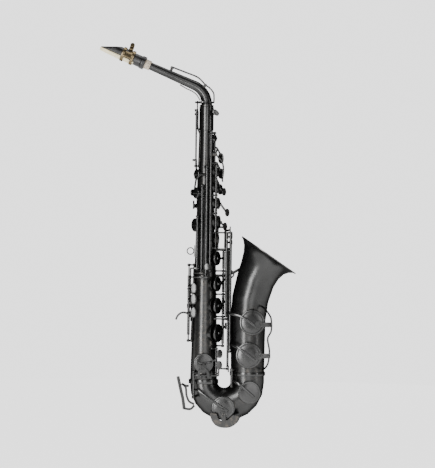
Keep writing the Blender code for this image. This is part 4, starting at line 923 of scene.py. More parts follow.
def make_bell():
    outer = [(*bell_station(s), r) for s, r in BELL_PROFILE]
    inner = [(*bell_station(s), r) for s, r in BELL_BORE]
    shapes, cuts = [swept(outer, WIDE_SIDES)], [swept(inner, WIDE_SIDES)]
    for x, z, hole_radius in BELL_HOLES.values():
        chimney, cutter = side_hole(x, z, hole_radius, -16.0)
        shapes.append(chimney)
        cuts.append(cutter)
    shapes += bell_post(LOW_B_LINE, 142.0) + bell_post(CS_CUP_LINE, 108.5)
    # The rim is rolled round a wire
    rim, heading = bell_station(BELL_PROFILE[-1][0] - RIM_WIRE_R)
    turns = [2 * math.pi * i / 14 for i in range(14)]
    bead_r = BELL_PROFILE[-1][1] - RIM_WIRE_R
    bead = [(bead_r + RIM_WIRE_R * math.cos(t), RIM_WIRE_R * math.sin(t)) for t in turns]
    node("bell", shapes + [turned(bead, rim, heading)], BLACK, cuts)


def make_rings():
    """The ferrules over the two joints of the bow."""
    body = [(BODY_FOOT_R + 1.3, -4), (BODY_FOOT_R + 2.6, -4), (BODY_FOOT_R + 2.6, 4), (BODY_FOOT_R + 1.3, 4)]
    node("bow_ring_body", [turned(body, vec(0, 0, BODY_FOOT_Z + 1.5), UP)], DARK)
    bell = [(32.2, -3.5), (33.4, -3.5), (33.4, 3.5), (32.2, 3.5)]
    node("bow_ring_bell", [turned(bell, vec(BELL_X, 0, BELL_FOOT_Z), UP)], DARK)


def make_neck():
    top = vec(0, 0, BODY_TOP_Z)
    # The receiver is a socket soldered over the body tube's top end, slotted at the front for its clamp
    profile = [(12.45, -10), (13.6, -10), (13.6, 34), (12.0, 34), (12.0, 2), (12.45, 0)]
    lugs = [strap([(10.8, y, 590), (18.5, y, 590)], 9.0, 4.0, UP) for y in (-3.6, 3.6)]
    slot = strap([(5, 0, 601), (5, 0, 574)], 16.0, 1.6, FRONT)
    socket_wall = turned([(0, 0), (12.0, 0), (12.0, 40), (0, 40)], top + UP * 2, UP)
    screw_hole = rod(vec(15.6, -9, 590), vec(15.6, 9, 590), 1.9)
    node("neck_receiver", [turned(profile, top, UP)] + lugs, DARK, [slot, socket_wall, screw_hole])
    # The clamp screw crosses the lugs and has a broad thumb head on the player's right
    shank = rod(vec(15.6, -12, 590), vec(15.6, 8, 590), 1.5)
    head = oval_plate(vec(17.4, -14.4, 589), LEFT, vec(1, 0, -0.9), 14, 9, 3.2)
    collar = rod(vec(15.6, -13.0, 590), vec(15.6, -6.3, 590), 3.2)
    node("neck_screw", [shank, head, collar], DARK, pivot=(15.6, -10, 590))

    stops = [0, 8, 16, 24, 32, 40, NECK_BEND, NECK_BEND + 50, NECK_TIP]
    outer = [(*neck_station(s), neck_radius(s)) for s in stops]
    inner = [(*neck_station(s), neck_radius(s) - WALL) for s in stops]
    outer.insert(0, (vec(0, 0, 572), UP, 11.6))
    outer.insert(1, (vec(0, 0, 600.6), UP, 11.6))
    outer.insert(2, (vec(0, 0, 600.8), UP, 13.2))
    outer.insert(3, (vec(0, 0, 603.6), UP, 13.2))
    outer.insert(4, (vec(0, 0, 603.8), UP, 10.6))
    inner[0] = (vec(0, 0, 569), UP, 10.3)
    inner.insert(1, (vec(0, 0, 604), UP, 9.3))
    last, heading, radius = inner[-1]
    inner[-1] = (last + heading * 4, heading, radius)
    saddle_point, along = neck_station(NECK_SADDLE_AT)
    lift = outward(along)
    saddle = []
    for side in (-5.2, 5.2):
        base = saddle_point + lift * 4.0 + vec(0, side, 0)
        saddle.append(strap([base, saddle_point + lift * 14.2 + vec(0, side, 0)], 5.0, 2.0, along))
    pip_point, pip_along = neck_station(NECK_VENT_AT)
    pip_up = outward(pip_along)
    pip = rod(pip_point + pip_up * 5, pip_point + pip_up * 11.6, 2.6)
    vent = rod(pip_point, pip_point + pip_up * 16, 0.9)
    node(
        "neck_tube", [swept(outer, NARROW_SIDES), pip] + saddle, BLACK, [swept(inner, NARROW_SIDES), vent],
        pivot=(0, 0, NECK_BASE_Z)
    )

    # A strip brace below the bend, on the concave side
    route = []
    for s in (10, 20, 30, NECK_BEND, NECK_BEND + 12, NECK_BEND + 26):
        centre, direction = neck_station(s)
        inward = vec(-direction.z, 0, direction.x)
        depth = 2.9 if 10 < s < NECK_BEND + 26 else 1.6
        route.append(centre + inward * (neck_radius(s) + depth))
    node("neck_brace", [strap(route, 4.6, 2.0, LEFT)], BLACK, pivot=(0, 0, NECK_BASE_Z))


def mouthpiece_frame():
    """The end of the neck: a point on its axis, the direction out of it, and the directions up and across
    there for a mouthpiece that is turned a little, so that its reed faces down and to the player's right."""
    centre, along = neck_station(NECK_END)
    twist = Matrix.Rotation(MOUTHPIECE_TWIST, 3, along)
    return centre, along, twist @ outward(along), twist @ LEFT


def make_mouthpiece():
    end, along, up, across = mouthpiece_frame()
    cork_from, cork_to = -13.0, 13.4
    cork_r = neck_radius(NECK_END) + GAP
    shank = end + along * SHANK_AT
    cork = turned(
        [
            (cork_r + 0.35, cork_from), (9.1, cork_from), (9.1, cork_to - 1), (8.6, cork_to),
            (cork_r + 0.1, cork_to)
        ],
        end, along
    )
    node("neck_cork", [cork], CORK, pivot=(0, 0, NECK_BASE_Z))
    # Shank, barrel and beak. The table for the reed is a flat along the lower side
    body = turned(
        [
            (0, 0), (12.4, 0), (12.4, 7), (11.2, 9), (10.9, 30), (11.6, 46), (11.6, MOUTHPIECE_LENGTH),
            (0, MOUTHPIECE_LENGTH)
        ],
        shank, along
    )
    tip = shank + along * MOUTHPIECE_LENGTH - up * TABLE_DROP
    block = 40.0
    table = strap(
        [shank + along * 20.2 - up * (TABLE_DROP + 20), shank + along * 140 - up * (TABLE_DROP + 20)], 60, 40,
        across
    )
    beak_start = shank + along * 47 + up * 11.8
    beak_run = (tip + up * 1.0 - beak_start).normalized()
    beak_up = outward(beak_run)
    if beak_up.dot(up) < 0:
        beak_up = -beak_up
    beak = strap(
        [beak_start - beak_run * 4 + beak_up * block / 2, beak_start + beak_run * 80 + beak_up * block / 2],
        60, block, across
    )
    socket = rod(shank - along * 2, shank + along * 18.6, 9.35)
    chamber = rod(shank + along * 15, shank + along * 56, 6.2, 5.2)
    window = strap([shank + along * 52 - up * 5.0, shank + along * 84 - up * 8.2], 10.5, 7.0, across)
    sides = []
    for side in (-1, 1):
        cheek = shank + along * 100 + across * (side * 27.4)
        sides.append(strap([shank + along * 46 + across * (side * 31.9), cheek], 80, 40, up))
    node("mouthpiece", [body], EBONITE, [table, beak, socket, chamber, window] + sides, pivot=end)

    reed_points = [(20.8, 2.8), (54, 2.6), (88.6, 0.6)]
    lower = [shank + along * a - up * (TABLE_DROP + GAP + t) for a, t in reed_points]
    upper = [shank + along * a - up * (TABLE_DROP + GAP) for a, _ in reed_points]
    points = []
    for low, high, half in zip(lower, upper, (5.6, 6.0, 6.6)):
        points += [low - across * half, low + across * half, high + across * half, high - across * half]
    faces = [[0, 1, 2, 3], [8, 9, 10, 11]]
    for k in (0, 4):
        faces += [[k + i, k + (i + 1) % 4, k + 4 + (i + 1) % 4, k + 4 + i] for i in range(4)]
    node("reed", [mesh_of(points, faces)], CANE, pivot=end)

    # Ligature: two bands round barrel and reed, with two ears on top for its screw
    low_z, high_z = 23.0, 47.0
    band_outer, band_inner = 13.9, 12.75
    shapes = []
    for z in (low_z, high_z - BAND_WIDTH):
        edge = [(band_inner, z), (band_outer, z), (band_outer, z + BAND_WIDTH), (band_inner, z + BAND_WIDTH)]
        shapes.append(turned(edge, shank, along, sides=64))
    # Between the bands a thinner plate runs over the top, and the reed shows below
    middle = shank + along * (low_z + high_z) / 2
    turns = [math.radians(t) for t in range(-112, 113, 8)]
    arc = [middle + (up * math.cos(t) + LEFT * math.sin(t)) * (band_inner + 0.5) for t in turns]
    shapes.append(strap(arc, high_z - low_z - BAND_WIDTH, 0.9, along))
    ears = []
    for y in (-3.4, 3.4):
        foot = shank + along * 35 + up * 12.8 + across * y
        ears.append(strap([foot, foot + up * 9.0], 8.0, 2.0, along))
    gap_cut = strap([shank + along * 15 + up * 14, shank + along * 55 + up * 14], 4.6, 6.0, across)
    hole = rod(shank + along * 35 + up * 19 - across * 9, shank + along * 35 + up * 19 + across * 9, 1.6)
    node("ligature", shapes + ears, BRASS, [gap_cut, hole], pivot=end)
    centre = shank + along * 35 + up * 19
    screw = rod(centre - across * 9.5, centre + across * 7.0, 1.25)
    knob = turned([(0, 0), (4.2, 0), (4.2, 4.5), (0, 4.5)], centre - across * 13.6, across)
    node("ligature_screw", [screw, knob], BRASS, pivot=centre)


def make_neck_octave_key():
    saddle_point, along = neck_station(NECK_SADDLE_AT)
    lift = outward(along)
    pivot = saddle_point + lift * 12.4
    pip_point, pip_along = neck_station(NECK_VENT_AT)
    pip_up = outward(pip_along)
    pad, _ = cup(pip_point + pip_up * 11.6, pip_up, 3.4)
    barrel = rod(pivot - LEFT * 3.9, pivot + LEFT * 3.9, 2.5)
    lever_route = [pivot]
    for s, h in ((NECK_BEND, 16.2), (NECK_BEND + 24, 15.8), (NECK_VENT_AT, 14.6)):
        centre, direction = neck_station(s)
        lever_route.append(centre + outward(direction) * h)
    lever = strap(lever_route, 5.0, 3.0, LEFT)
    # Past the saddle the lever carries a loop that comes down round the foot of the neck
    ring_z, ring_r, ring_x = NECK_BASE_Z + 3.2, 17.4, -3.8
    ring = turned(
        [(ring_r - 1.2, -1.3), (ring_r + 1.2, -1.3), (ring_r + 1.2, 1.3), (ring_r - 1.2, 1.3)],
        vec(ring_x, 0, ring_z), UP
    )
    loop = strap(
        [pivot, pivot + vec(8.0, 0, -5.5), (12.4, 0, 627), (13.6, 0, 619), (13.5, 0, ring_z)], 4.6, 2.8, LEFT
    )
    node("neck_octave_key", [barrel, lever, pad, loop, ring], DARK, pivot=pivot)


def make_stack_key(name, line, low, high, arm_z, touch_at=None, touch_r=7.2, touch_dir=None):
    """A stack key: a tube on its rod, an arm over the cup, and a pearl holder on the arm."""
    _, z, hole = TONE_HOLES[name]
    pad, back, direction = cup_over(name)
    start = on(line, arm_z)
    over = back + direction * 0.4
    toward = vec(start.x - over.x, start.y - over.y, 0).normalized()
    elbow = over + toward * (hole * 0.75) + direction * 0.2
    route = [over - toward * hole * 0.55, over, elbow, start]
    shapes = [pad, hinge_tube(line, low, high), arm(route, 4.2, 2.2)]
    if touch_at is not None:
        facing = touch_dir or direction
        shapes.append(touch_pearl(touch_at, facing, touch_r))
        shapes.append(arm([touch_at - facing * 0.6, over + direction * 0.2], 4.0, 2.2))
    node(name, shapes, DARK, pivot=on(line, z))


def make_upper_stack():
    posts = post_row(60, UPPER_LINE, (331, 500), (335.0, 400.0, 434.0, 494.0), (333, 496))
    node("upper_stack_rib", posts, BLACK)
    facing = vec(0.96, -0.28, 0)
    keys = (
        ("c_key", 468.0, 491.1, 478, None),
        ("key_b", 436.9, 467.4, 448, vec(30.5, 3.0, 441)),
        ("key_a", 402.9, 431.1, 419, vec(37.4, 1.4, 402)),
        ("key_g", 369.0, 397.1, 384, vec(33.0, 3.0, 376)),
    )
    for name, start, stop, arm_z, touch in keys:
        make_stack_key(name, UPPER_LINE, start, stop, arm_z, touch, 7.4, facing)


def make_lower_stack():
    posts = post_row(-26, LOWER_LINE, (148, 334), (151.0, 206.0, 248.0, 292.0, 331.0), (149, 333))
    node("lower_stack_rib", posts, BLACK)
    front = vec(1, -0.1, 0).normalized()
    keys = (
        ("f_sharp_aux", 296.0, 328.1, 316, None),
        ("key_f", 252.0, 289.1, 268, vec(38.0, -4.2, 277)),
        ("key_e", 210.0, 245.1, 227, vec(38.2, -4.2, 236)),
        ("key_d", 155.0, 203.1, 176, vec(38.6, -4.2, 189)),
    )
    for name, start, stop, arm_z, touch in keys:
        make_stack_key(name, LOWER_LINE, start, stop, arm_z, touch, 6.8, front)


def make_side_keys():
    """The keys on the long tubes of the player's right: three side cups and the high F sharp."""
    posts = [rib(92, 274, 492, 6.0)]
    plan = (
        ("high_f_sharp", HIGH_FS_LINE, 552.0, 293.0, 541),
        ("high_e", HIGH_E_LINE, 487.0, 279.0, 473),
        ("side_c", SIDE_C_LINE, 452.0, 287.0, 438),
        ("side_bb", SIDE_BB_LINE, 394.0, 295.0, 378),
    )
    for name, line, top, bottom, arm_z in plan:
        if name in ("high_e", "side_c"):
            posts += post(92, line, top) + post(92, line, bottom)
        _, z, hole = TONE_HOLES[name]
        pad, back, direction = cup_over(name)
        start = on(line, arm_z)
        over = back + direction * 0.4
        toward = vec(start.x - over.x, start.y - over.y, 0).normalized()
        route = [over - toward * hole * 0.55, over, over + toward * hole * 0.7 + direction * 0.6, start]
        radius = 2.5 if name == "high_f_sharp" else TUBE_R
        shapes = [pad, hinge_tube(line, bottom + 2.9, top - 2.9, radius), arm(route, 4.0, 2.2)]
        if name == "high_f_sharp":
            shapes.append(arm([on(line, 300.0), (4.0, -34.2, 300.0)], 4.0, 2.2))
            shapes.append(oval_plate(vec(3.6, -34.4, 300.0), vec(-0.2, -1, 0), UP, 13, 10, 2.2))
        else:
            tip = TAIL_TIPS[name]
            tail_z = bottom + 7.0
            shapes.append(arm([on(line, tail_z), Vector((*tip, tail_z))], 3.6, 2.2))
        node(name, shapes, DARK, pivot=on(line, z))
    node("side_key_rib", posts, BLACK)


def make_levers():
    """The levers that lift the three side cups. They turn on one rod behind the right hand."""
    posts = post_row(angle_of(LEVER_LINE), LEVER_LINE, (158, 306), (161.0, 258.0, 303.0), (159, 305))
    node("lever_rib", posts, BLACK)
    routes = {
        "high_e": (261, 283, 259.5, [(*LEVER_LINE, 280.5), (-22, -29, 280.5), (-6, -35.4, 280.5)]),
        "side_c": (
            232, 255, 239,
            [
                (*LEVER_LINE, 250), (-20.8, -13.5, 250), (-20.8, -13.5, 287), (-19, -29, 288.5),
                (-8, -34.2, 288.5)
            ]
        ),
        "side_bb": (
            172, 231.2, 214,
            [(*LEVER_LINE, 227), (-26.5, -1.5, 227), (-26.5, -1.5, 296), (-25.5, -17, 297), (-20, -30.5, 297)]
        )
    }
    for name, (low, high, touch_z, route) in routes.items():
        shapes = [hinge_tube(LEVER_LINE, low, high)]
        points = [Vector(p) for p in route] + [Vector((*TAIL_TIPS[name], route[-1][2]))]
        for start, end in zip(points, points[1:]):
            shapes.append(link(start, end, 2.8))
        plate = oval_plate(vec(-20.5, -26.0, touch_z), vec(-0.25, -1, 0), UP, 19, 12, 2.2)
        arm_z = min(max(touch_z, low + 3), high - 3)
        shapes.append(arm([on(LEVER_LINE, arm_z), (-27, -20, arm_z), (-21, -25.6, touch_z)], 4.5, 2.4))
        shapes.append(plate)
        node(name + "_lever", shapes, DARK, pivot=on(LEVER_LINE, touch_z))


def link(start, end, width):
    """A square bar that runs on a little past its points, so that the next bar meets it at a corner."""
    run = (end - start).normalized()
    across = UP if abs(run.z) < 0.8 else FRONT
    return strap([start - run * width * 0.35, end + run * width * 0.35], width, width * 0.8, across)


# ---------------------------------------------------------------- keys for the left hand


def make_palm_keys():
    heights = (457.5, 488.0, 516.0, 552.0)
    posts = post_row(angle_of(PALM_LINE), PALM_LINE, (456, 554), heights, (457, 553), 4.6, 4.6)
    node("palm_rib", posts, BLACK)
    plan = (
        ("palm_d", 460.2, 485.3, [(20, 22.5, 465), (26.5, 26, 452)], (27.0, 26.6, 446.0)),
        ("palm_eb", 490.7, 513.3, [(20, 23.5, 496), (27.5, 29, 482)], (28.0, 29.6, 476.0)),
        ("palm_f", 518.7, 549.3, [(20, 23.5, 524), (27.5, 31, 511)], (28.0, 31.6, 505.0)),
    )
    for name, low, high, reach, touch in plan:
        _, z, hole = TONE_HOLES[name]
        pad, back, direction = cup_over(name)
        over = back + direction * 0.2
        start = on(PALM_LINE, z)
        route = [over - vec(hole * 0.5, 0, 0), over, over + vec(hole * 0.7, 0.4, 0), start]
        shapes = [pad, hinge_tube(PALM_LINE, low, high), arm(route, 4.0, 2.2)]
        points = [on(PALM_LINE, reach[0][2])] + [Vector(p) for p in reach]
        shapes.append(arm(points, 4.0, 2.2, vec(0.7, -0.7, 0.6)))
        shapes.append(oval_plate(Vector(touch), vec(0.45, 1, 0.1), UP, 20, 11.5, 2.4))
        node(name, shapes, DARK, pivot=on(PALM_LINE, z))


def make_front_f():
    """The front F lever. It rocks on a cross pin in its saddle at the front of the body tube."""
    pivot = vec(body_radius(FRONT_F_Z) + FRONT_F_OUT, 0, FRONT_F_Z)
    barrel = rod(pivot - LEFT * 3.5, pivot + LEFT * 3.5, 2.6)
    route = [
        pivot + vec(1.6, 0, 9.5), pivot + vec(0.8, 0, 0), (30.5, 0, 496), (33.0, 0, 481), (31.2, 0, 464.5)
    ]
    shapes = [barrel, strap(route, 5.0, 3.2, LEFT)]
    shapes.append(touch_pearl(vec(31.0, 0, 464.0), vec(1, 0, 0.12), 5.0))
    hole = rod(pivot - LEFT * 8, pivot + LEFT * 8, 1.35)
    node("front_f", shapes, DARK, [hole], pivot=pivot)


def make_octave():
    """The pin that lifts the ring of the neck's octave key, and the thumb lever that moves it."""
    angle = angle_of(OCTAVE_LINE)
    posts = [rib(angle, 486.5, 554.5, 5.0)]
    posts += post(angle, OCTAVE_LINE, 488.5, 4.6)
    # The upper bearing reaches up past the receiver from the top of the strip
    posts.append(rod(on(OCTAVE_LINE, 590.7), on(OCTAVE_LINE, 595.3), POST_HEAD_R))
    riser = around(19.4, angle, 0)
    route = [
        around(body_radius(553) + GAP + 1.2, angle, 549), riser + vec(0, 0, 562), riser + vec(0, 0, 591.5)
    ]
    posts.append(strap(route, 4.4, 2.2, out(angle).cross(UP)))
    posts.append(arm([riser + vec(0, 0, 593), on(OCTAVE_LINE, 593)], 3.6, 3.6))
    node("octave_rib", posts, BLACK)
    low, high = 491.2, 590.3
    shapes = [hinge_tube(OCTAVE_LINE, low, high, 2.0)]
    pin = vec(-17.4, 1.0, 0)
    shapes.append(arm([on(OCTAVE_LINE, 586.0), (-21.5, -5, 586.0), pin + vec(-1, 0, 586.0)], 4.0, 2.4))
    shapes.append(rod(pin + vec(0, 0, 584.0), pin + vec(0, 0, 611.5), 1.3))
    reach = [on(OCTAVE_LINE, 500.0), (-24.3, -6, 500.0), (-24.2, 3, 500.0), around(23.4, THUMB_ANGLE, 500.0)]
    shapes.append(arm(reach, 3.6, 2.2))
    node("octave_pin_key", shapes, DARK, pivot=on(OCTAVE_LINE, 540))

    # The thumb rest and the lever's saddle share a strip. The lever rocks like a see-saw in the saddle
    away = out(THUMB_ANGLE)
    along = away.cross(UP)
    wall = body_radius(THUMB_PIVOT_Z) + GAP
    posts = [rib(THUMB_ANGLE, 409, 478, 5.0)]
    for side in (-4.6, 4.6):
        foot = around(wall + 0.3, THUMB_ANGLE, THUMB_PIVOT_Z) + along * side
        posts.append(strap([foot, foot + away * 6.6], 6.0, 1.8, UP))
    saddle = [around(wall + 0.9, THUMB_ANGLE, THUMB_PIVOT_Z + rise) for rise in (-4, 4)]
    posts.append(strap(saddle, 10.6, 1.2, along))
    pivot = thumb_pivot()
    posts.append(rod(pivot - along * 5.0, pivot + along * 5.0, 1.0))
    seat = Vector(THUMB_REST)
    posts.append(rod(seat, seat + vec(3.2, 0, 0), THUMB_REST_R))
    stalk = [seat + vec(1.8, 0, 0), (-21.5, 4.0, 414), around(body_radius(414) + GAP + 1.0, THUMB_ANGLE, 414)]
    posts.append(arm(stalk, 8.0, 2.4))
    node("thumb_rest", posts, BLACK)
    barrel = rod(pivot - along * 3.3, pivot + along * 3.3, 2.6)
    route = [
        around(24.6, THUMB_ANGLE, 440), around(22.4, THUMB_ANGLE, 454), pivot + away * 0.6,
        around(20.6, THUMB_ANGLE, 484), around(20.8, THUMB_ANGLE, 502)
    ]
    shapes = [barrel, strap(route, 4.4, 2.0, along)]
    shapes.append(oval_plate(around(25.0, THUMB_ANGLE, 439) - along * 3.0, away, along, 20, 13, 2.4))
    hole = rod(pivot - along * 8, pivot + along * 8, 1.35)
    node("octave_thumb_lever", shapes, DARK, [hole], pivot=pivot)


def thumb_pivot():
    return around(body_radius(THUMB_PIVOT_Z) + GAP + 4.6, THUMB_ANGLE, THUMB_PIVOT_Z)


def make_g_sharp():
    line = G_SHARP_LINE
    lever = TABLE_LINE
    heights = (332.5, 374.5)
    posts = post_row(-72, line, (330, 377), heights, (332, 375), 5.0, 4.6)
    for z in heights:
        posts += [
            rod(on(lever, z - 2.3), on(lever, z + 2.3), POST_HEAD_R),
            arm([on(line, z), on(lever, z)], 3.6, 3.0)
        ]
    posts.append(rod(on(lever, 332), on(lever, 375), ROD_R))
    node("table_rib", posts, BLACK)
    z = TONE_HOLES["g_sharp"][1]
    pad, back, direction = cup_over("g_sharp")
    low, high = 335.3, 371.7
    start = on(line, z)
    over = back + direction * 0.2
    side = start - over
    side = (side - direction * side.dot(direction)).normalized()
    shapes = [pad, hinge_tube(line, low, high)]
    shapes.append(arm([over - side * 6, over, over + side * 8.5 + direction * 0.6, start], 4.2, 2.2))
    node("g_sharp", shapes, DARK, pivot=on(line, z))
    shapes = [hinge_tube(lever, low, high, 2.6)]
    shapes.append(oval_plate(vec(47.0, 14.0, 371.0), FRONT, LEFT, 23, 10.5, 2.4))
    shapes.append(arm([on(lever, 368.0), (44.8, 23.0, 369.0), (46.6, 16.0, 370.5)], 4.0, 2.4))
    node("g_sharp_lever", shapes, DARK, pivot=on(lever, 365))


# ---------------------------------------------------------------- keys of the bell, the bow and the foot


def side_cup(place, line, arm_z, route, lean=0.4):
    """(pad cup, arm) for a tone hole (x, z, radius) that faces -Y on bow or bell. The arm starts on the hinge
    line, goes by route, its last two points behind the cup, and its width leans along X."""
    x, z, hole = place
    pad, back = cup(vec(x, SIDE_RIM_Y, z), RIGHT, hole + SIDE_CUP_MARGIN)
    points = [on(line, arm_z), Vector(route[0])] + [vec(px, back.y - 0.4, pz) for px, pz in route[1:]]
    return [pad, arm(points, 5.0, 2.4, vec(lean, 0, 1))]


def make_bell_keys():
    """Low B flat, low B and low C sharp, with their long tubes between the body tube and the bell."""
    place = BELL_HOLES["low_bb"]
    shapes = side_cup(place, LOW_BB_LINE, 216, [(51, -34, 213), (74, 207), (104, 186)])
    shapes.append(hinge_tube(LOW_BB_LINE, 205.6, 351.6))
    shapes.append(arm([on(LOW_BB_LINE, 346), (43.2, -6, 346), (45.0, 6, 346)], 4.0, 2.4))
    shapes.append(oval_plate(vec(46.0, 14, 346), FRONT, LEFT, 23, 9.5, 2.4))
    node("low_bb", shapes, DARK, pivot=on(LOW_BB_LINE, place[1]))

    place = BELL_HOLES["low_b"]
    shapes = side_cup(place, LOW_B_LINE, 158, [(56, -34, 154), (70, 148), (98, 127)])
    shapes.append(hinge_tube(LOW_B_LINE, 145.1, 361.1))
    shapes.append(arm([on(LOW_B_LINE, 357.5), (47.2, -6, 357.5), (45.8, 4, 358)], 4.0, 2.4))
    shapes.append(oval_plate(vec(46.2, 8.0, 358), FRONT, UP, 11, 11, 2.4))
    node("low_b", shapes, DARK, pivot=on(LOW_B_LINE, place[1]))

    place = BOW_HOLES["low_c_sharp"]
    shapes = side_cup(place, CS_CUP_LINE, 90, [(60, -36, 86), (69, 80), (95, 58)], 0.5)
    shapes.append(hinge_tube(CS_CUP_LINE, 80.9, 105.6))
    shapes.append(arm([on(CS_CUP_LINE, 101), (50.8, -20.5, 101)], 3.4, 2.2))
    node("low_c_sharp", shapes, DARK, pivot=on(CS_CUP_LINE, place[1]))

    shapes = [hinge_tube(CS_LEVER_LINE, 112.1, 330.4, 2.5)]
    shapes.append(arm([on(CS_LEVER_LINE, 114.5), (46.4, -20.5, 114.5)], 3.4, 2.2))
    shapes.append(link(vec(46.4, -20.2, 114.5), vec(46.4, -20.6, 104.0), 2.6))
    bends = [(44.6, -2, 328), (40.0, 9, 340), (39.0, 16.5, 353.5), (48.6, 19.6, 357.2)]
    route = [on(CS_LEVER_LINE, 326.5)] + [Vector(point) for point in bends]
    shapes.append(arm(route, 3.4, 2.2, vec(0, -0.5, 1)))
    shapes.append(oval_plate(vec(48.8, 19.8, 358), FRONT, UP, 11, 10.5, 2.4))
    node("c_sharp_lever", shapes, DARK, pivot=on(CS_LEVER_LINE, 220))


def make_foot_keys():
    """Low E flat on the body tube and low C on the bow, with their two touches for the little finger."""
    face = vec(0.25, -1, 0)
    z = TONE_HOLES["low_eb"][1]
    pad, back, direction = cup_over("low_eb")
    over = back + direction * 0.4
    shapes = [pad, hinge_tube(EB_LINE, 103.9, 144.1)]
    shapes.append(arm([over - vec(9, 0, 0), over, over + vec(12, 0.4, 2), on(EB_LINE, 127)], 4.4, 2.2))
    shapes.append(arm([on(EB_LINE, 138), (28.5, -30.8, 138)], 4.0, 2.4))
    shapes.append(oval_plate(vec(29.4, -32.0, 138), face, UP, 16, 11.5, 2.4))
    node("low_eb", shapes, DARK, pivot=on(EB_LINE, z))

    place = BOW_HOLES["low_c"]
    shapes = side_cup(place, LOW_C_LINE, 70, [(-9, -36.5, 69), (15, 53), (48, 31.5)])
    shapes.append(hinge_tube(LOW_C_LINE, 58.9, 101.1))
    shapes.append(arm([on(LOW_C_LINE, 97.6), (-12, -34.0, 97.6), (28.4, -34.0, 97.6)], 3.4, 2.4))
    shapes.append(link(vec(28.4, -33.8, 97.6), vec(29.0, -32.0, 112), 3.4))
    shapes.append(oval_plate(vec(29.4, -32.0, 117), face, UP, 16, 11.5, 2.4))
    node("low_c", shapes, DARK, pivot=on(LOW_C_LINE, place[1]))


# ---------------------------------------------------------------- guards, braces and what the player holds


def bumper(centre, radius=6.0):
    """The round end of a guard: a dished plate with a felt behind it and a screw's head in front."""
    plate = [
        (0, 0.7), (radius, 0.7), (radius, 1.8), (radius - 1.2, 1.8), (radius - 1.8, 1.4), (2.6, 1.4),
        (2.6, 4.2)
    ]
    plate += [(1.6, 4.2), (1.4, 3.6), (0, 3.6)]
    felt = turned([(0, 0), (radius * 0.8, 0), (radius * 0.8, 0.8), (0, 0.8)], centre, RIGHT)
    return [turned(plate, centre, RIGHT), (FELT, felt)]


def slab(outline, front, back):
    """A flat plate with an outline in the XZ plane, between two depths in Y."""
    count = len(outline)
    points = [vec(p.x, y, p.z) for y in (front, back) for p in outline]
    faces = [list(range(count)), list(range(count, 2 * count))]
    faces += [[i, (i + 1) % count, count + (i + 1) % count, count + i] for i in range(count)]
    return mesh_of(points, faces)


def make_guards():
    route = [
        (106.0, -29.0, 228), (112.0, -37.0, 224), (119.5, -46.0, 215), (124.5, -52.0, 205),
        (125.0, -52.0, 183), (118.5, -52.0, 168), (122.0, -52.0, 145), (120.0, -50.0, 124),
        (115.0, -36.0, 113), (110.4, -20.2, 109)
    ]
    shapes = [wire(route, 1.7)]
    for z in (198.0, 140.0):
        shapes.append(strap([(124, -52.3, z - 4), (104, -53.2, z - 4)], 9.0, 1.8, UP))
        shapes.append(bumper(vec(102.0, -52.4, z - 4), 7.0))
    node("bell_key_guard", shapes, BLACK)

    # The low C guard is a cradle: a face plate in front of the cup's lower half and a wall back to the bow
    edge = (
        (12.9, 29), (14.6, 21.5), (18.6, 12.5), (25, 6.0), (32, 3.2), (41, 2.2), (50, 3.4), (58, 7.6),
        (65, 14.2), (69, 22.5)
    )
    inner = ((25.5, 27.5), (27, 20.5), (32, 15.5), (38.4, 13.8), (45, 15.5), (51, 21), (56, 25.5))
    front, back = -52.6, -50.9
    outline = [vec(x, 0, z) for x, z in edge + tuple(reversed(inner))]
    shapes = [slab(outline, front, back)]
    wall = [vec(x, -38.0, z) for x, z in edge]
    shapes.append(strap(wall, 28.0, 1.6, RIGHT))
    shapes.append(strap([(38.4, -51.8, 10), (38.4, -51.8, 30)], 8.0, 1.8, FRONT))
    shapes.append(bumper(vec(38.4, -50.9, 30.0), 7.0))
    node("low_c_guard", shapes, BLACK)

    shapes = []
    route = [(-9.0, -25.6, 92.3), (-9.6, -40, 91.6), (-7.5, -43.5, 104), (0, -43.5, 112)]
    shapes.append(strap(route, 5.0, 1.8, FRONT))
    other = [(9.0, -25.6, 92.3), (9.6, -40, 91.6), (7.5, -43.5, 104), (0, -43.5, 112)]
    shapes.append(strap(other, 5.0, 1.8, FRONT))
    shapes.append(bumper(vec(0, -43.0, 113), 6.0))
    node("low_eb_guard", shapes, BLACK)

    # The clothes guard stands off the back of the bow on two feet
    y = -4.0

    def rail(points, width):
        return strap([(px, y, pz) for px, pz in points], 3.0, width, LEFT)

    shapes = [
        rail([(-48.2, 93.5), (-42.5, 68.0), (-38.6, 52.0), (-35.6, 31.5)], 6.0),
        rail([(-36.5, 33.2), (-24.0, 32.2), (-16.6, 39.2)], 4.4),
        rail([(-41.0, 80.0), (-33.5, 73.0), (-31.6, 58.0), (-27.0, 47.0), (-20.0, 42.6), (-17.0, 42.0)], 4.2),
        rail([(-40.0, 79.0), (-33.5, 76.0), (-27.2, 75.5)], 4.5)
    ]
    node("clothes_guard", shapes, BLACK)


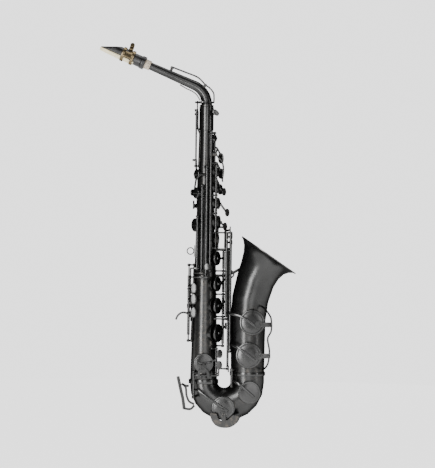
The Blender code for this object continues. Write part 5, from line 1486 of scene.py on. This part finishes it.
def make_brace():
    """The brace that joins the body tube and the bell."""
    z = 283.0
    foot = around(body_radius(z) + GAP + 1.6, -56, z)
    left = vec(40.0, 20.0, z)
    right = vec(57.0, 20.0, 290.0)
    shapes = [
        strap(
            [around(body_radius(z + d) + GAP + 0.9, -56, z + d) for d in (-9, 9)], 10.0, 1.6,
            out(-56).cross(UP)
        )
    ]
    shapes.append(rod(foot, left, 2.6))
    shapes.append(rod(left + vec(-2, 0, 0), right, 2.6))
    shapes.append(turned([(5.0, -2.0), (8.2, -2.0), (8.2, 2.0), (5.0, 2.0)], vec(48.0, 20.0, 286), LEFT))
    centre, along = bell_station(186.0)
    side = vec(-along.z, 0, along.x)
    at = centre + (side * 0.86 + LEFT * 0.51).normalized() * (38.2 + GAP + 1.0)
    shapes.append(rod(right + vec(-1, 0, 0), at, 2.6))
    normal = (at - centre).normalized()
    shapes.append(strap([at - along * 8, at + along * 8], 10.0, 1.6, along.cross(normal)))
    node("bell_brace", shapes, BLACK)


def make_holds():
    """The strap ring and the thumb hook, each on its own base on the back of the body tube."""
    x, _, z = RING_CENTRE
    wall = body_radius(z) + GAP
    ring = turned([(5.2, -1.05), (7.3, -1.05), (7.3, 1.05), (5.2, 1.05)], RING_CENTRE, LEFT)
    base = strap([(-body_radius(z + d) - GAP - 1.0, 0, z + d) for d in (-11, 11)], 8.0, 1.6, LEFT)
    stem = rod(vec(-wall - 0.6, 0, z), vec(x + 6.0, 0, z), 2.2)
    node("strap_ring", [ring, base, stem], DARK)

    y = 6.0
    back = [vec(-math.sqrt((body_radius(q) + GAP + 1.3) ** 2 - y * y) - 1.2, y, q) for q in (197.0, 232.0)]
    plate = strap(back, 10.0, 1.8, vec(0.28, 1, 0))
    hook = [(-23.2, y, 203.6), (-33, y, 212), (-43, y, 212.5), (-50, y, 207), (-53.5, y, 199.5)]
    shapes = [plate, strap(hook, 11.0, 3.6, LEFT)]
    knob = rod(vec(-22.4, y, 226), vec(-33.0, y, 226), 4.2)
    shapes.append(knob)
    node("thumb_hook", shapes, DARK)


# ---------------------------------------------------------------- the studio


def make_studio():
    """A floor that glows nearly as brightly as the background, broad soft lights, and a long lens."""
    mesh = bpy.data.meshes.new("floor")
    low = CAD_BOX[0][2] - FLOOR_BELOW
    turns = [2 * math.pi * i / 96 for i in range(96)]
    mesh.from_pydata(
        [(FLOOR_R * math.cos(t), FLOOR_R * math.sin(t), low) for t in turns], [], [list(range(96))]
    )
    floor = bpy.data.objects.new("floor", mesh)
    bpy.context.scene.collection.objects.link(floor)
    made, _, _, shader = nodes_for("studio_paper")
    shader.inputs["Base Color"].default_value = (0.05, 0.05, 0.05, 1)
    shader.inputs["Roughness"].default_value = 0.9
    shader.inputs["Emission Color"].default_value = (1, 1, 1, 1)
    shader.inputs["Emission Strength"].default_value = BACKGROUND * 0.98
    mesh.materials.append(made)

    world = bpy.data.worlds.new("studio")
    world.use_nodes = True
    tree = world.node_tree
    seen = tree.nodes.new("ShaderNodeLightPath").outputs["Is Camera Ray"]
    level = tree.nodes.new("ShaderNodeMapRange")
    level.inputs["To Min"].default_value = ROOM
    level.inputs["To Max"].default_value = BACKGROUND
    tree.links.new(seen, level.inputs["Value"])
    tree.nodes["Background"].inputs["Color"].default_value = (1, 1, 1, 1)
    tree.links.new(level.outputs["Result"], tree.nodes["Background"].inputs["Strength"])
    bpy.context.scene.world = world
    aim = vec(0.05, 0, 0.03)
    for name, place, size, power in LIGHTS:
        data = bpy.data.lights.new(name, "AREA")
        data.shape = "RECTANGLE"
        data.size, data.size_y = size
        data.energy = power
        lamp = bpy.data.objects.new(name, data)
        lamp.location = place
        lamp.rotation_euler = (aim - Vector(place)).to_track_quat("-Z", "Y").to_euler()
        bpy.context.scene.collection.objects.link(lamp)

    data = bpy.data.cameras.new("camera")
    camera = bpy.data.objects.new("camera", data)
    bpy.context.scene.collection.objects.link(camera)
    camera.location = VIEW_CENTRE - LEFT * CAMERA_AWAY
    camera.rotation_euler = (math.radians(90), math.radians(-CAMERA_ROLL), 0)
    data.sensor_fit = "VERTICAL"
    data.sensor_height = 24.0
    data.lens = data.sensor_height * CAMERA_AWAY / VIEW_HEIGHT
    bpy.context.scene.camera = camera


def make_instrument():
    make_body_tube()
    make_bow()
    make_bell()
    make_rings()
    make_neck()
    make_mouthpiece()
    make_neck_octave_key()
    make_upper_stack()
    make_lower_stack()
    make_side_keys()
    make_levers()
    make_palm_keys()
    make_front_f()
    make_octave()
    make_g_sharp()
    make_bell_keys()
    make_foot_keys()
    make_guards()
    make_brace()
    make_holds()


make_studio()
make_instrument()
